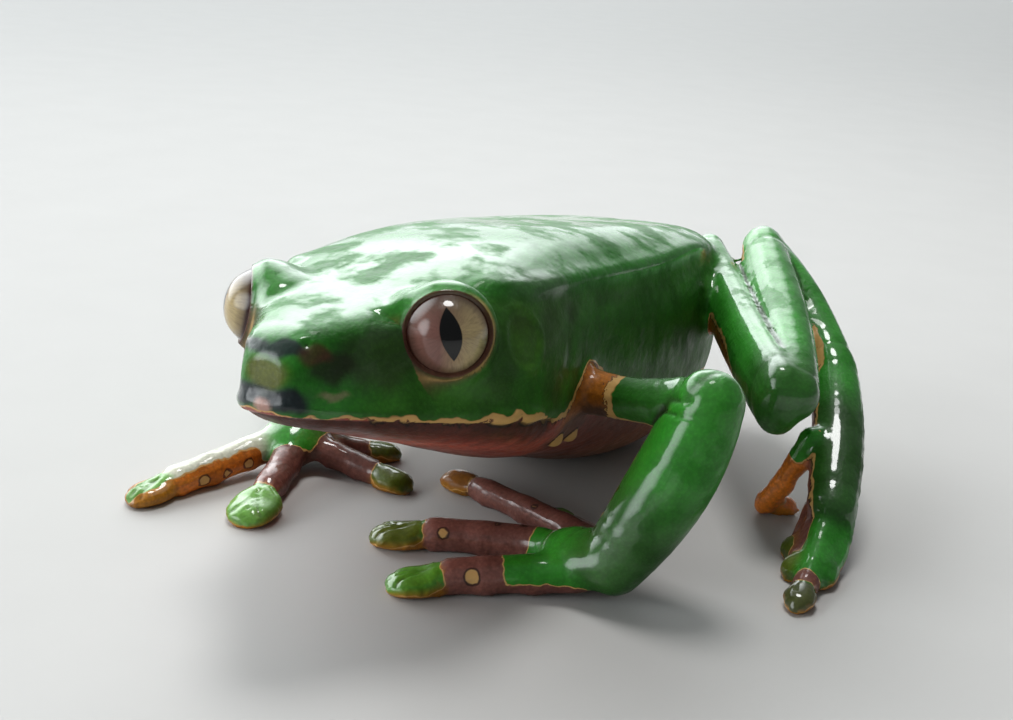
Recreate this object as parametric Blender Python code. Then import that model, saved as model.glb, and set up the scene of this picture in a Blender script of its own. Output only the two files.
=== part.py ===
"""Giant monkey frog (Phyllomedusa bicolor), life size, crouched in a wide resting pose.

Axes: +X is the frog's left, -Y is the way its snout points, +Z is up, and the floor is z = 0.
Lengths below are in millimetres in the body's own frame, whose origin lies on the floor
under the front of the upper lip. MM turns them into metres, and CENTRE moves the middle
of the whole animal's plan over the world origin.
The segments of a limb are parted by the planes that halve their joints' bends. Digits, and
limbs where they meet the body, give way to the pieces made before them. GAP is left between.
"""
import bpy
import bmesh
import numpy as np
from math import cos, pi, radians, sin
from mathutils import Vector

MM = 0.001
GAP = 0.3                       # clearance between neighbouring pieces
SIGN = {"left": 1.0, "right": -1.0}
CENTRE = (0.8, 56.65)           # plan centre of the finished animal

# ---- Head and trunk ---------------------------------------------------------------------
LIP_HEIGHT = 28.5               # front of the upper lip above the floor
PITCH = radians(10.6)           # the whole body slopes down towards the vent
ROLL = radians(4.2)             # it leans over, its left side higher
BODY_SIDES = 28
BODY_RINGS = 24
NECK = 36.0                     # head and trunk part here
MOUTH_SLOPE = 0.045             # fall of the mouth line per millimetre, from the lip's front
JAW_SETBACK = 0.8               # the lower jaw's tip lies this far behind the lip's

# Stations along the body: distance from the snout, half width, height of the widest line,
# of the back and of the belly above the lip's front, and how square the upper and lower
# quarters of the section are (2 is an ellipse).
STATIONS = np.array([
    (0.0, 2.7, 2.8, 6.6, 0.1, 2.8, 2.2),
    (0.8, 3.7, 1.8, 8.0, -0.7, 3.4, 2.2),
    (2.5, 5.1, 0.8, 9.2, -1.4, 3.8, 2.2),
    (5.5, 7.2, 0.1, 10.2, -2.1, 4.0, 2.2),
    (10.0, 10.5, -0.3, 11.4, -3.0, 4.0, 2.2),
    (16.0, 14.7, -0.6, 13.2, -4.2, 4.0, 2.3),
    (22.0, 17.6, -0.9, 15.4, -5.4, 3.8, 2.4),
    (28.0, 19.2, -1.1, 17.4, -6.7, 3.6, 2.5),
    (34.0, 19.7, -0.6, 18.8, -8.2, 3.4, 2.5),
    (40.0, 19.4, 1.0, 19.7, -9.8, 3.4, 2.5),
    (48.0, 18.8, 2.6, 20.5, -11.2, 3.5, 2.4),
    (58.0, 18.9, 3.2, 21.0, -12.8, 3.7, 2.3),
    (68.0, 19.3, 3.6, 21.3, -14.6, 3.9, 2.3),
    (78.0, 19.3, 4.2, 21.6, -15.2, 4.2, 2.3),
    (88.0, 18.6, 5.2, 21.8, -13.9, 4.4, 2.3),
    (96.0, 17.0, 6.2, 21.6, -11.0, 4.4, 2.2),
    (102.5, 13.6, 7.0, 19.2, -6.4, 3.4, 2.1),
    (107.5, 8.8, 7.4, 15.0, -0.4, 2.5, 2.0),
    (110.5, 4.0, 7.4, 10.8, 4.0, 2.1, 2.0),
])
SPINE_SWAY = ((0.0, 0.6), (16.0, 0.2), (45.0, -1.0), (96.0, 1.0), (111.0, 1.5))

EYE_CENTRE = (12.1, 16.6, 9.2)  # on the left, in the head's frame
EYE_RADIUS = 5.1
EYE_AZIMUTH = radians(42.0)     # the pupils look this far outwards from straight ahead,
EYE_TURN = radians(6.0)         # both turned this much to the right,
EYE_RISE = radians(13.0)        # and this far up,
EYE_LEAN = radians(3.0)         # the left one more and the right one less
ORBIT_RADIUS = 6.0              # the lids' outer surface round the eye
APERTURE = (4.8, 4.3)           # half width and half height of the opening between the lids
CHEEK_HOLLOW = 0.9              # the side of the snout is sunk this much before the eye
HOLLOW_PLACE = (9.0, 5.0)       # distance from the snout and height of the hollow's middle
HOLLOW_REACH = (4.5, 3.4)       # and how far it spreads along and up

# ---- Limbs ------------------------------------------------------------------------------
# Radii at the near end, the middle and the far end; how much taller than wide a section is;
# and the bow of the middle line, outwards, backwards and upwards.
SEGMENTS = {
    "upper_arm": dict(radii=(5.0, 2.8, 4.0), flat=1.0, bow=(0.0, 0.0, -1.2)),
    "forearm": dict(radii=(4.4, 5.2, 4.2), flat=1.0, bow=(0.9, 0.4, 0.0)),
    "hand": dict(radii=(4.3, 4.9, 4.6), flat=0.76, bow=(0.0, 0.0, 0.0)),
    "thigh": dict(radii=(3.2, 3.5, 3.5), flat=1.5, bow=(0.2, 0.0, -1.0)),
    "shank": dict(radii=(3.3, 4.1, 3.3), flat=1.1, bow=(0.8, 0.0, -1.0)),
    "tarsus": dict(radii=(3.0, 3.0, 3.2), flat=1.0, bow=(0.2, 1.4, 0.8)),
    "foot": dict(radii=(3.3, 3.7, 3.4), flat=0.85, bow=(0.6, 0.0, 0.4)),
}
HEEL_STEP = (0.8, 0.8, -0.6)    # from the shank's end to the tarsus's start, outwards, back, up
ARMS = {
    "left": dict(shoulder=(9.0, 46.5, 22.0), elbow=(36.4, 38.8, 26.0), wrist=(28.4, 33.4, 5.2),
                 knuckles=(21.5, 35.0, 3.4)),
    "right": dict(shoulder=(-11.0, 46.0, 22.0), elbow=(-35.0, 59.6, 21.0),
                  wrist=(-28.0, 48.0, 5.0), knuckles=(-27.6, 42.6, 3.6)),
}
# Each digit: root, height of the root, bend, tip in plan, half thickness, half width of disc.
FINGERS = {
    "left": (
        ((26.0, 39.0), 4.0, (19.5, 46.2), (12.4, 48.6), 1.8, 2.1),
        ((24.0, 38.8), 3.8, (13.2, 46.4), (-5.6, 51.6), 2.0, 2.7),
        ((24.0, 35.4), 3.4, (15.0, 39.4), (-4.4, 29.6), 2.4, 3.3),
        ((24.5, 31.6), 3.2, (17.0, 29.0), (4.4, 19.6), 2.5, 3.2),
    ),
    "right": (
        ((-25.4, 47.4), 3.8, (-20.5, 51.5), (-15.6, 54.6), 1.8, 2.1),
        ((-25.0, 44.6), 3.9, (-18.5, 46.6), (-8.0, 45.0), 2.0, 2.7),
        ((-26.4, 43.2), 3.8, (-23.5, 34.0), (-20.4, 23.1), 2.3, 3.7),
        ((-29.4, 43.4), 3.9, (-32.8, 34.0), (-37.0, 19.8), 2.4, 2.9),
    ),
}
LEGS = {
    "left": dict(hip=(14.0, 102.5, 26.8), knee=(39.2, 61.2, 20.5),
                 shin=(41.0, 62.0, 21.2), heel=(23.4, 101.4, 30.8),
                 instep=(41.4, 83.4, 18.8), ball=(48.2, 61.4, 6.6)),
    "right": dict(hip=(-9.0, 101.5, 21.0), knee=(-40.4, 73.0, 14.6),
                  shin=(-42.8, 74.0, 15.2), heel=(-17.0, 109.6, 20.4),
                  instep=(-38.0, 93.2, 9.0), ball=(-42.8, 71.6, 3.9)),
}
TOES = {
    "left": (
        ((42.6, 68.4), 13.4, (32.6, 68.0), (41.2, 71.2), 1.6, 1.75),
        ((45.6, 65.0), 6.4, (44.6, 61.0), (44.4, 56.2), 1.4, 1.6),
        ((46.6, 63.4), 6.4, (46.4, 57.0), (46.2, 50.6), 1.6, 1.8),
        ((47.8, 62.4), 6.6, (48.6, 54.0), (49.2, 42.6), 1.8, 2.1),
        ((49.6, 63.0), 6.8, (50.4, 58.0), (50.0, 50.2), 1.8, 2.0),
    ),
    "right": (
        ((-38.8, 78.4), 4.4, (-34.0, 76.6), (-26.8, 73.4), 2.1, 2.3),
        ((-39.8, 73.6), 3.8, (-37.2, 70.4), (-34.0, 66.2), 1.7, 2.0),
        ((-41.4, 71.8), 3.7, (-40.5, 67.0), (-39.4, 61.2), 1.9, 2.3),
        ((-43.2, 72.0), 3.8, (-44.0, 66.0), (-44.4, 58.6), 2.0, 2.5),
        ((-45.0, 73.2), 3.7, (-47.4, 69.4), (-49.4, 64.0), 1.9, 2.4),
    ),
}
DISC_ASPECT = 1.08              # a disc is this much longer than it is wide
DISC_THICKNESS = 1.5            # half of it
DISC_EDGE = 0.7                 # the edge keeps this share of it
DISC_BLUNTNESS = 2.5            # 2 gives an oval outline, more a squarer one
DISC_STATIONS = np.radians((28.0, 68.0, 108.0, 142.0))   # sections round a disc's outline
STEM_TAPER = 0.12               # a digit loses this share of its thickness by its tip
FLOOR_BITE = 0.25               # how far a pad is pressed flat
SINK_POWER = 1.6                # how quickly a digit comes down to the floor
LIMB_RINGS = 5
LIMB_SIDES = 12
DIGIT_SIDES = 8

SKIN_GREEN = (0.05, 0.30, 0.03)
SKIN_BROWN = (0.16, 0.06, 0.04)
IRIS = (0.55, 0.45, 0.40)

THIS_COLLECTION = "monkey_frog"
CUTTER_COLLECTION = "monkey_frog_cutters"


# ---- Curves and sections ----------------------------------------------------------------
def through(x, xs, ys):
    """Values at x of the smooth curve through (xs, ys): cubic pieces, averaged slopes."""
    xs = np.asarray(xs, float)
    ys = np.asarray(ys, float)
    steps = np.diff(xs)
    slopes = np.diff(ys) / steps
    tangents = np.empty(len(xs))
    tangents[1:-1] = (slopes[:-1] * steps[1:] + slopes[1:] * steps[:-1]) / (steps[1:] + steps[:-1])
    tangents[0] = slopes[0]
    tangents[-1] = slopes[-1]
    x = np.clip(x, xs[0], xs[-1])
    i = np.clip(np.searchsorted(xs, x, side="right") - 1, 0, len(xs) - 2)
    h = steps[i]
    t = (x - xs[i]) / h
    return ((1 + 2 * t) * (1 - t) ** 2 * ys[i] + t * (1 - t) ** 2 * h * tangents[i]
            + t * t * (3 - 2 * t) * ys[i + 1] - t * t * (1 - t) * h * tangents[i + 1])


def body_to_world(points):
    """Pitches points of the body's frame, leans them over and lifts them to the lip's height."""
    x, y, z = np.moveaxis(np.asarray(points, float), -1, 0)
    pitched = -sin(PITCH) * y + cos(PITCH) * z
    return np.stack([cos(ROLL) * x - sin(ROLL) * pitched, cos(PITCH) * y + sin(PITCH) * z,
                     sin(ROLL) * x + cos(ROLL) * pitched + LIP_HEIGHT], axis=-1)


def sway(y):
    """How far the body's middle lies to its left."""
    return float(through(y, *zip(*SPINE_SWAY)))


def body_ring(y, grow=0.0):
    """One section of the head and trunk: two squared-off half ovals and the cheek's hollow."""
    width, mid, back, belly, square_up, square_low = (
        float(through(y, STATIONS[:, 0], STATIONS[:, k])) for k in range(1, 7))
    angle = (np.arange(BODY_SIDES) + 0.5) * 2.0 * pi / BODY_SIDES
    across, rise = np.sin(angle), np.cos(angle)
    upper = rise >= 0.0
    height = np.where(upper, back - mid, mid - belly)
    power = np.where(upper, square_up, square_low)
    reach = ((np.abs(across) / width) ** power + (np.abs(rise) / height) ** power) ** (-1.0 / power)
    lift = mid + rise * reach
    from_hollow = np.hypot((y - HOLLOW_PLACE[0]) / HOLLOW_REACH[0],
                           (lift - HOLLOW_PLACE[1]) / HOLLOW_REACH[1])
    reach = reach + grow - np.where(upper, CHEEK_HOLLOW * np.exp(-from_hollow ** 2), 0.0)
    ring = np.stack([across * reach + sway(y), np.full(BODY_SIDES, y), mid + rise * reach],
                    axis=-1)
    return body_to_world(ring)


def body_rings(grow=0.0):
    """Sections from snout to vent, closer together on the head."""
    first, last = STATIONS[0, 0], STATIONS[-1, 0]
    even = np.linspace(0.0, 1.0, BODY_RINGS)
    places = first + (last - first) * (0.55 * even + 0.45 * even ** 2.2)
    places[0] -= grow
    places[-1] += grow
    rings = [body_ring(y, grow) for y in places]
    for ring, place in ((rings[0], places[0]), (rings[-1], places[-1])):
        station = np.clip(place, first, last)
        ring[:] = body_ring(station, grow) + (body_to_world((0, place, 0))
                                               - body_to_world((0, station, 0)))
    return rings


def tube_rings(centres, widths, heights, sides, grow=0.0, dome_angles=(35.0, 65.0)):
    """Oval sections square to a centre line, with a rounded end at each end of it."""
    centres = np.asarray(centres, float)
    tangents = np.gradient(centres, axis=0)
    tangents /= np.linalg.norm(tangents, axis=1)[:, None]
    angle = np.arange(sides) * 2.0 * pi / sides
    rings = []
    across = np.array((1.0, 0.0, 0.0))
    for centre, tangent, width, height in zip(centres, tangents, widths, heights):
        level = np.cross(tangent, (0.0, 0.0, 1.0))
        if np.linalg.norm(level) > 0.25:
            across = level if not rings or np.dot(level, across) >= 0.0 else -level
        across = across - tangent * np.dot(across, tangent)
        across /= np.linalg.norm(across)
        up = np.cross(across, tangent)
        ring = (centre + np.outer(np.cos(angle) * (width + grow), across)
                + np.outer(np.sin(angle) * (height + grow), up))
        rings.append(ring)

    def dome(ring, centre, outward, radius):
        return [centre + (ring - centre) * cos(a) + outward * radius * sin(a)
                for a in np.radians(dome_angles)]

    start = dome(rings[0], centres[0], -tangents[0], min(widths[0], heights[0]) + grow)
    end = dome(rings[-1], centres[-1], tangents[-1], min(widths[-1], heights[-1]) + grow)
    return start[::-1] + rings + end


def segment_rings(start, end, radii, flat, bow, grow):
    """A limb's length: a line bowed by half a sine, its radius a parabola through three."""
    t = np.linspace(0.0, 1.0, LIMB_RINGS)[:, None]
    centres = np.asarray(start) * (1 - t) + np.asarray(end) * t + np.asarray(bow) * np.sin(pi * t)
    near, belly, far = radii
    t = t[:, 0]
    widths = (near * (1 - t) * (1 - 2 * t) + belly * 4 * t * (1 - t) + far * t * (2 * t - 1))
    return tube_rings(centres, widths, widths * flat, LIMB_SIDES, grow)


def digit_rings(root, root_height, bend, tip, thickness, disc, grow):
    """A finger or toe: a parabola in plan that sinks to the floor and ends in a flat disc."""
    t = np.linspace(0.0, 1.0, 60)
    plan = (np.outer((1 - t) ** 2, root) + np.outer(2 * t * (1 - t), bend) + np.outer(t * t, tip))
    length = np.concatenate([[0.0], np.cumsum(np.linalg.norm(np.diff(plan, axis=0), axis=1))])
    total = length[-1]
    half_disc = disc * DISC_ASPECT
    stem = np.linspace(0.0, total - 2 * half_disc, 4)[:-1]
    cap = total - half_disc - half_disc * np.cos(DISC_STATIONS)
    along = np.concatenate([stem, cap])
    from_middle = np.abs((along - total + half_disc) / half_disc)
    from_disc = np.clip(1.0 - from_middle ** DISC_BLUNTNESS, 0.0, 1.0) ** (1 / DISC_BLUNTNESS)
    in_stem = along < total - half_disc
    neck = thickness * (1.0 - STEM_TAPER * along / total)
    widths = np.where(in_stem, np.maximum(neck, disc * from_disc), disc * from_disc)
    fade = np.clip((along - (total - 2.3 * half_disc)) / (1.1 * half_disc), 0.0, 1.0)
    heights = np.where(in_stem, neck * (1 - fade) + DISC_THICKNESS * fade,
                       DISC_THICKNESS * np.maximum(from_disc, DISC_EDGE))
    sink = np.clip(along / (total - 2.0 * half_disc), 0.0, 1.0)
    rest = heights - FLOOR_BITE
    levels = rest + (root_height - rest[0]) * (1.0 - sink) ** SINK_POWER
    centres = np.stack([np.interp(along, length, plan[:, 0]),
                        np.interp(along, length, plan[:, 1]), levels], axis=-1)
    return tube_rings(centres, widths, heights, DIGIT_SIDES, grow, dome_angles=(50.0,))


# ---- Meshes, materials and cuts ---------------------------------------------------------
def material(name, colour, roughness):
    made = bpy.data.materials.new(name)
    made.use_nodes = True
    shader = made.node_tree.nodes["Principled BSDF"]
    shader.inputs["Base Color"].default_value = (*colour, 1.0)
    shader.inputs["Roughness"].default_value = roughness
    shader.inputs["Metallic"].default_value = 0.0
    return made


def collection(name):
    made = bpy.data.collections.new(name)
    bpy.context.scene.collection.children.link(made)
    return made


def loft(name, rings, home):
    """A closed mesh through rings of equal count, with a flat face on each end."""
    points = np.concatenate(rings)
    points = (points - (CENTRE[0], CENTRE[1], 0.0)) * MM
    sides = len(rings[0])
    mesh_data = bmesh.new()
    verts = [mesh_data.verts.new(point) for point in points]
    for row in range(len(rings) - 1):
        for k in range(sides):
            a, b = row * sides + k, row * sides + (k + 1) % sides
            mesh_data.faces.new((verts[a], verts[b], verts[b + sides], verts[a + sides]))
    mesh_data.faces.new(verts[:sides])
    mesh_data.faces.new(verts[-sides:])
    bmesh.ops.triangulate(mesh_data, faces=mesh_data.faces[:])
    bmesh.ops.recalc_face_normals(mesh_data, faces=mesh_data.faces[:])
    mesh = bpy.data.meshes.new(name)
    mesh_data.to_mesh(mesh)
    mesh_data.free()
    mesh.shade_smooth()
    piece = bpy.data.objects.new(name, mesh)
    home.objects.link(piece)
    return piece


def as_cutter(piece):
    piece.hide_render = True
    piece.display_type = "WIRE"
    return piece


def box_cutter(name, low, high, home, slope=0.0, with_body=True):
    """A box from corner to corner, lying with the body where asked, its top and base sloped."""
    mesh_data = bmesh.new()
    bmesh.ops.create_cube(mesh_data, size=1.0)
    low, high = np.asarray(low, float), np.asarray(high, float)
    for vert in mesh_data.verts:
        place = low + (np.array(vert.co) + 0.5) * (high - low)
        place[2] -= slope * place[1]
        if with_body:
            place = body_to_world(place)
        vert.co = (place - (CENTRE[0], CENTRE[1], 0.0)) * MM
    mesh = bpy.data.meshes.new(name)
    mesh_data.to_mesh(mesh)
    mesh_data.free()
    piece = bpy.data.objects.new(name, mesh)
    home.objects.link(piece)
    return as_cutter(piece)


def plane_cutter(name, point, normal, home):
    """A large block whose face lies half a gap before a point, filling the normal's side."""
    size = 150.0
    turn = Vector(normal).to_track_quat("Z", "Y")
    mesh_data = bmesh.new()
    bmesh.ops.create_cube(mesh_data, size=size * MM)
    mesh = bpy.data.meshes.new(name)
    mesh_data.to_mesh(mesh)
    mesh_data.free()
    piece = bpy.data.objects.new(name, mesh)
    place = np.asarray(point) + np.asarray(turn @ Vector((0, 0, size / 2 - GAP / 2)))
    piece.location = (place - (CENTRE[0], CENTRE[1], 0.0)) * MM
    piece.rotation_mode = "QUATERNION"
    piece.rotation_quaternion = turn
    home.objects.link(piece)
    return as_cutter(piece)


def eye_turn(side):
    """The turn that points local +Z along the pupil's axis on one side."""
    return (pi / 2 - EYE_RISE - side * EYE_LEAN, 0.0, side * EYE_AZIMUTH - EYE_TURN)


def ball(name, centre, radius, side, home, segments=14):
    """A round ball with one pole looking out along the pupil's axis."""
    mesh_data = bmesh.new()
    bmesh.ops.create_uvsphere(mesh_data, u_segments=segments, v_segments=segments // 2 + 2,
                              radius=radius * MM)
    mesh = bpy.data.meshes.new(name)
    mesh_data.to_mesh(mesh)
    mesh_data.free()
    mesh.shade_smooth()
    piece = bpy.data.objects.new(name, mesh)
    piece.location = (np.asarray(centre) - (CENTRE[0], CENTRE[1], 0.0)) * MM
    piece.rotation_euler = eye_turn(side)
    home.objects.link(piece)
    return piece


def aperture_cutter(name, centre, side, home):
    """An oval bar from the middle of the eye outwards, which opens the lids."""
    depth = 2.0 * ORBIT_RADIUS * MM
    mesh_data = bmesh.new()
    bmesh.ops.create_cone(mesh_data, cap_ends=True, segments=18, radius1=MM, radius2=MM,
                          depth=depth)
    for vert in mesh_data.verts:
        vert.co.x *= APERTURE[0]
        vert.co.y *= APERTURE[1]
        vert.co.z += depth / 2
    mesh = bpy.data.meshes.new(name)
    mesh_data.to_mesh(mesh)
    mesh_data.free()
    piece = bpy.data.objects.new(name, mesh)
    piece.location = (np.asarray(centre) - (CENTRE[0], CENTRE[1], 0.0)) * MM
    piece.rotation_euler = eye_turn(side)
    home.objects.link(piece)
    return as_cutter(piece)


def cut(piece, cutter, operation="DIFFERENCE"):
    modifier = piece.modifiers.new("cut_" + cutter.name, "BOOLEAN")
    modifier.operation = operation
    modifier.solver = "EXACT"
    modifier.object = cutter


def overlaps(rings_a, rings_b):
    """Whether two sets of sections' boxes meet, with a millimetre to spare."""
    a, b = np.concatenate(rings_a), np.concatenate(rings_b)
    return bool(np.all(a.min(0) - 1.0 < b.max(0)) and np.all(b.min(0) - 1.0 < a.max(0)))


# ---- The animal -------------------------------------------------------------------------
class Frog:
    """Builds the pieces in order, each one giving way to those before it."""

    def __init__(self):
        self.home = collection(THIS_COLLECTION)
        self.tools = collection(CUTTER_COLLECTION)
        self.floor = box_cutter("floor_cutter", (-90, -40, -12), (90, 150, 0), self.tools,
                                with_body=False)
        self.earlier = []

    def finish(self, piece, colour, roughness=0.25):
        piece.data.materials.clear()
        piece.data.materials.append(material(piece.name + "_finish", colour, roughness))
        return piece

    def body(self):
        rings = body_rings()
        grown = as_cutter(loft("body_cutter", body_rings(GAP), self.tools))
        half = GAP / 2
        head_room = box_cutter("behind_neck_cutter", (-40, NECK - half, -60), (40, 130, 60),
                               self.tools)
        trunk_room = box_cutter("before_neck_cutter", (-40, -20, -60), (40, NECK + half, 60),
                                self.tools)
        below = box_cutter("below_mouth_cutter", (-40, -20, -40), (40, NECK + 5, half),
                           self.tools, slope=MOUTH_SLOPE)
        above = box_cutter("above_mouth_cutter", (-40, -20, -half), (40, NECK + 5, 40),
                           self.tools, slope=MOUTH_SLOPE)
        chin = box_cutter("chin_cutter", (-40, -20, -40), (40, JAW_SETBACK, half),
                          self.tools)
        head = self.finish(loft("head", rings, self.home), SKIN_GREEN)
        cut(head, head_room)
        cut(head, below)
        for side, sign in SIGN.items():
            centre = body_to_world((sign * EYE_CENTRE[0] + sway(EYE_CENTRE[1]),
                                    *EYE_CENTRE[1:]))
            orbit = ball(f"orbit_{side}_cutter", centre, ORBIT_RADIUS, sign, self.tools)
            socket = ball(f"socket_{side}_cutter", centre, EYE_RADIUS + GAP, sign, self.tools)
            cut(head, as_cutter(orbit), "UNION")
            cut(head, as_cutter(socket))
            cut(head, aperture_cutter(f"aperture_{side}_cutter", centre, sign, self.tools))
            self.finish(ball(f"eye_{side}", centre, EYE_RADIUS, sign, self.home), IRIS, 0.05)
        jaw = self.finish(loft("lower_jaw", rings, self.home), SKIN_BROWN, 0.4)
        cut(jaw, head_room)
        cut(jaw, above)
        cut(jaw, chin)
        trunk = self.finish(loft("trunk", rings, self.home), SKIN_GREEN)
        cut(trunk, trunk_room)
        cut(trunk, self.floor)
        self.earlier.append(("trunk", rings, grown))

    def add(self, name, make_rings, colour, planes=(), spare=()):
        """One piece of a limb, cut by the floor, by joint planes and by earlier pieces."""
        rings = make_rings(0.0)
        piece = self.finish(loft(name, rings, self.home), colour)
        for number, (point, normal) in enumerate(planes, 1):
            cut(piece, plane_cutter(f"{name}_plane_{number}_cutter", point, normal, self.tools))
        if np.concatenate(rings)[:, 2].min() < 0.0:
            cut(piece, self.floor)
        for other, other_rings, grown in self.earlier:
            if other not in spare and overlaps(rings, other_rings):
                cut(piece, grown)
        grown = as_cutter(loft(name + "_cutter", make_rings(GAP), self.tools))
        self.earlier.append((name, rings, grown))

    def chain(self, side, links):
        """Segments end to end: each pair is parted by the plane that halves their bend."""
        sign = SIGN[side]
        names = [f"{kind}_{side}" for kind, start, end in links]
        planes = [[] for link in links]
        for k in range(len(links) - 1):
            inward = np.subtract(links[k][2], links[k][1])
            outward = np.subtract(links[k + 1][2], links[k + 1][1])
            normal = inward / np.linalg.norm(inward) + outward / np.linalg.norm(outward)
            middle = np.add(links[k][2], links[k + 1][1]) / 2
            planes[k].append((middle, normal))
            planes[k + 1].append((middle, -normal))
        for name, (kind, start, end), cuts in zip(names, links, planes):
            shape = dict(SEGMENTS[kind], start=start, end=end)
            shape["bow"] = np.multiply(shape["bow"], (sign, 1.0, 1.0))
            self.add(name, lambda grow, shape=shape: segment_rings(grow=grow, **shape),
                     SKIN_GREEN, cuts, names)

    def digits(self, kind, side, rows):
        for number, row in enumerate(rows, 1):
            self.add(f"{kind}_{number}_{side}", lambda grow, row=row: digit_rings(*row, grow),
                     SKIN_BROWN)

    def arm(self, side):
        j = ARMS[side]
        self.chain(side, (("upper_arm", j["shoulder"], j["elbow"]),
                          ("forearm", j["elbow"], j["wrist"]),
                          ("hand", j["wrist"], j["knuckles"])))
        self.digits("finger", side, FINGERS[side])

    def leg(self, side):
        j = LEGS[side]
        step = np.multiply(HEEL_STEP, (SIGN[side], 1.0, 1.0))
        self.chain(side, (("thigh", j["hip"], j["knee"]),
                          ("shank", j["shin"], j["heel"]),
                          ("tarsus", np.add(j["heel"], step), j["instep"]),
                          ("foot", j["instep"], j["ball"])))
        self.digits("toe", side, TOES[side])


def main():
    for old in list(bpy.data.objects):
        bpy.data.objects.remove(old, do_unlink=True)
    frog = Frog()
    frog.body()
    for side in SIGN:
        frog.arm(side)
        frog.leg(side)


main()
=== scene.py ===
"""Looks of a life-size giant monkey frog: one moist, glossy skin over the whole animal and two
wet, silvery eyes, on a plain pale floor under soft light.

Axes: +X is the frog's left, -Y is the way its snout points, +Z is up, and the floor is z = 0.
Shapes are worked out in millimetres in the body's own frame, whose origin lies on the floor
under the front of the upper lip. MM turns them into metres, and CENTRE moves the middle of
the animal's plan over the world origin.
"""
from math import cos, pi, radians, sin

import bmesh
import bpy
import numpy as np
from mathutils import Matrix, Vector


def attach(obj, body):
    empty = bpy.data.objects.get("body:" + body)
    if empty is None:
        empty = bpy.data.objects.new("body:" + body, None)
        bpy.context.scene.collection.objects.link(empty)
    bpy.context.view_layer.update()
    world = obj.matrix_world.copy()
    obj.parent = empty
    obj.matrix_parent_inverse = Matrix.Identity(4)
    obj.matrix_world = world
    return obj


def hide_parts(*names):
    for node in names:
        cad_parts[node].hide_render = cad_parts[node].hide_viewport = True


bl_info = {
    "name": "Monkey Frog",
    "version": (1, 0, 0),
    "blender": (4, 5, 0),
    "location": "3D View > Sidebar > Frog",
    "description": "Skins a life-size model of a giant monkey frog and lights it",
    "category": "Add Mesh",
}

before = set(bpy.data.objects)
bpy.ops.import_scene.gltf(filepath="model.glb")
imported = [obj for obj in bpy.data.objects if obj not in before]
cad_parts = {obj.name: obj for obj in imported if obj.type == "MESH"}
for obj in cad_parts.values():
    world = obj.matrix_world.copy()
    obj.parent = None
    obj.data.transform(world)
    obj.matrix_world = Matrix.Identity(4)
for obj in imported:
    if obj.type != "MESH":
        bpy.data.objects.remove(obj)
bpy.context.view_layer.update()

MM = 0.001
CENTRE = (0.8, 56.65)           # plan centre of the animal
SIGN = {"left": 1.0, "right": -1.0}

# ---- Head and trunk ---------------------------------------------------------------------
LIP_HEIGHT = 28.5               # front of the upper lip above the floor
PITCH = radians(10.6)           # the whole body slopes down towards the vent
ROLL = radians(4.2)             # it leans over, its left side higher
MOUTH_SLOPE = 0.045             # fall of the mouth line per millimetre, from the lip's front
MOUTH_END = 33.0                # distance of the mouth's corner from the snout

# Stations along the body: distance from the snout, half width, height of the widest line,
# of the back and of the belly above the lip's front, and how square the upper and lower
# quarters of the section are (2 is an ellipse).
STATIONS = np.array([
    (0.0, 2.7, 2.8, 6.6, 0.1, 2.8, 2.2),
    (0.8, 3.7, 1.8, 8.0, -0.7, 3.4, 2.2),
    (2.5, 5.1, 0.8, 9.2, -1.4, 3.8, 2.2),
    (5.5, 7.2, 0.1, 10.2, -2.1, 4.0, 2.2),
    (10.0, 10.5, -0.3, 11.4, -3.0, 4.0, 2.2),
    (16.0, 14.7, -0.6, 13.2, -4.2, 4.0, 2.3),
    (22.0, 17.6, -0.9, 15.4, -5.4, 3.8, 2.4),
    (28.0, 19.2, -1.1, 17.4, -6.7, 3.6, 2.5),
    (34.0, 19.7, -0.6, 18.8, -8.2, 3.4, 2.5),
    (40.0, 19.4, 1.0, 19.7, -9.8, 3.4, 2.5),
    (48.0, 18.8, 2.6, 20.5, -11.2, 3.5, 2.4),
    (58.0, 18.9, 3.2, 21.0, -12.8, 3.7, 2.3),
    (68.0, 19.3, 3.6, 21.3, -14.6, 3.9, 2.3),
    (78.0, 19.3, 4.2, 21.6, -15.2, 4.2, 2.3),
    (88.0, 18.6, 5.2, 21.8, -13.9, 4.4, 2.3),
    (96.0, 17.0, 6.2, 21.6, -11.0, 4.4, 2.2),
    (102.5, 13.6, 7.0, 19.2, -6.4, 3.4, 2.1),
    (107.5, 8.8, 7.4, 15.0, -0.4, 2.5, 2.0),
    (110.5, 4.0, 7.4, 10.8, 4.0, 2.1, 2.0),
])
SPINE_SWAY = np.array(((0.0, 0.6), (16.0, 0.2), (45.0, -1.0), (96.0, 1.0), (111.0, 1.5)))

EYE_CENTRE = (12.1, 16.6, 9.2)  # on the left, in the body's frame
EYE_RADIUS = 5.1
EYE_AZIMUTH = radians(44.5)     # the pupils look this far outwards from straight ahead,
EYE_TURN = radians(8.5)         # both turned this much to the right,
EYE_RISE = radians(13.0)        # and this far up,
EYE_LEAN = radians(3.0)         # the left one more and the right one less
ORBIT_RADIUS = 6.0              # the lids' outer surface round the eye
CHEEK_HOLLOW = 0.9              # the side of the snout is sunk this much before the eye
HOLLOW_PLACE = (9.0, 5.0)       # distance from the snout and height of the hollow's middle
HOLLOW_REACH = (4.5, 3.4)       # and how far it spreads along and up

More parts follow.
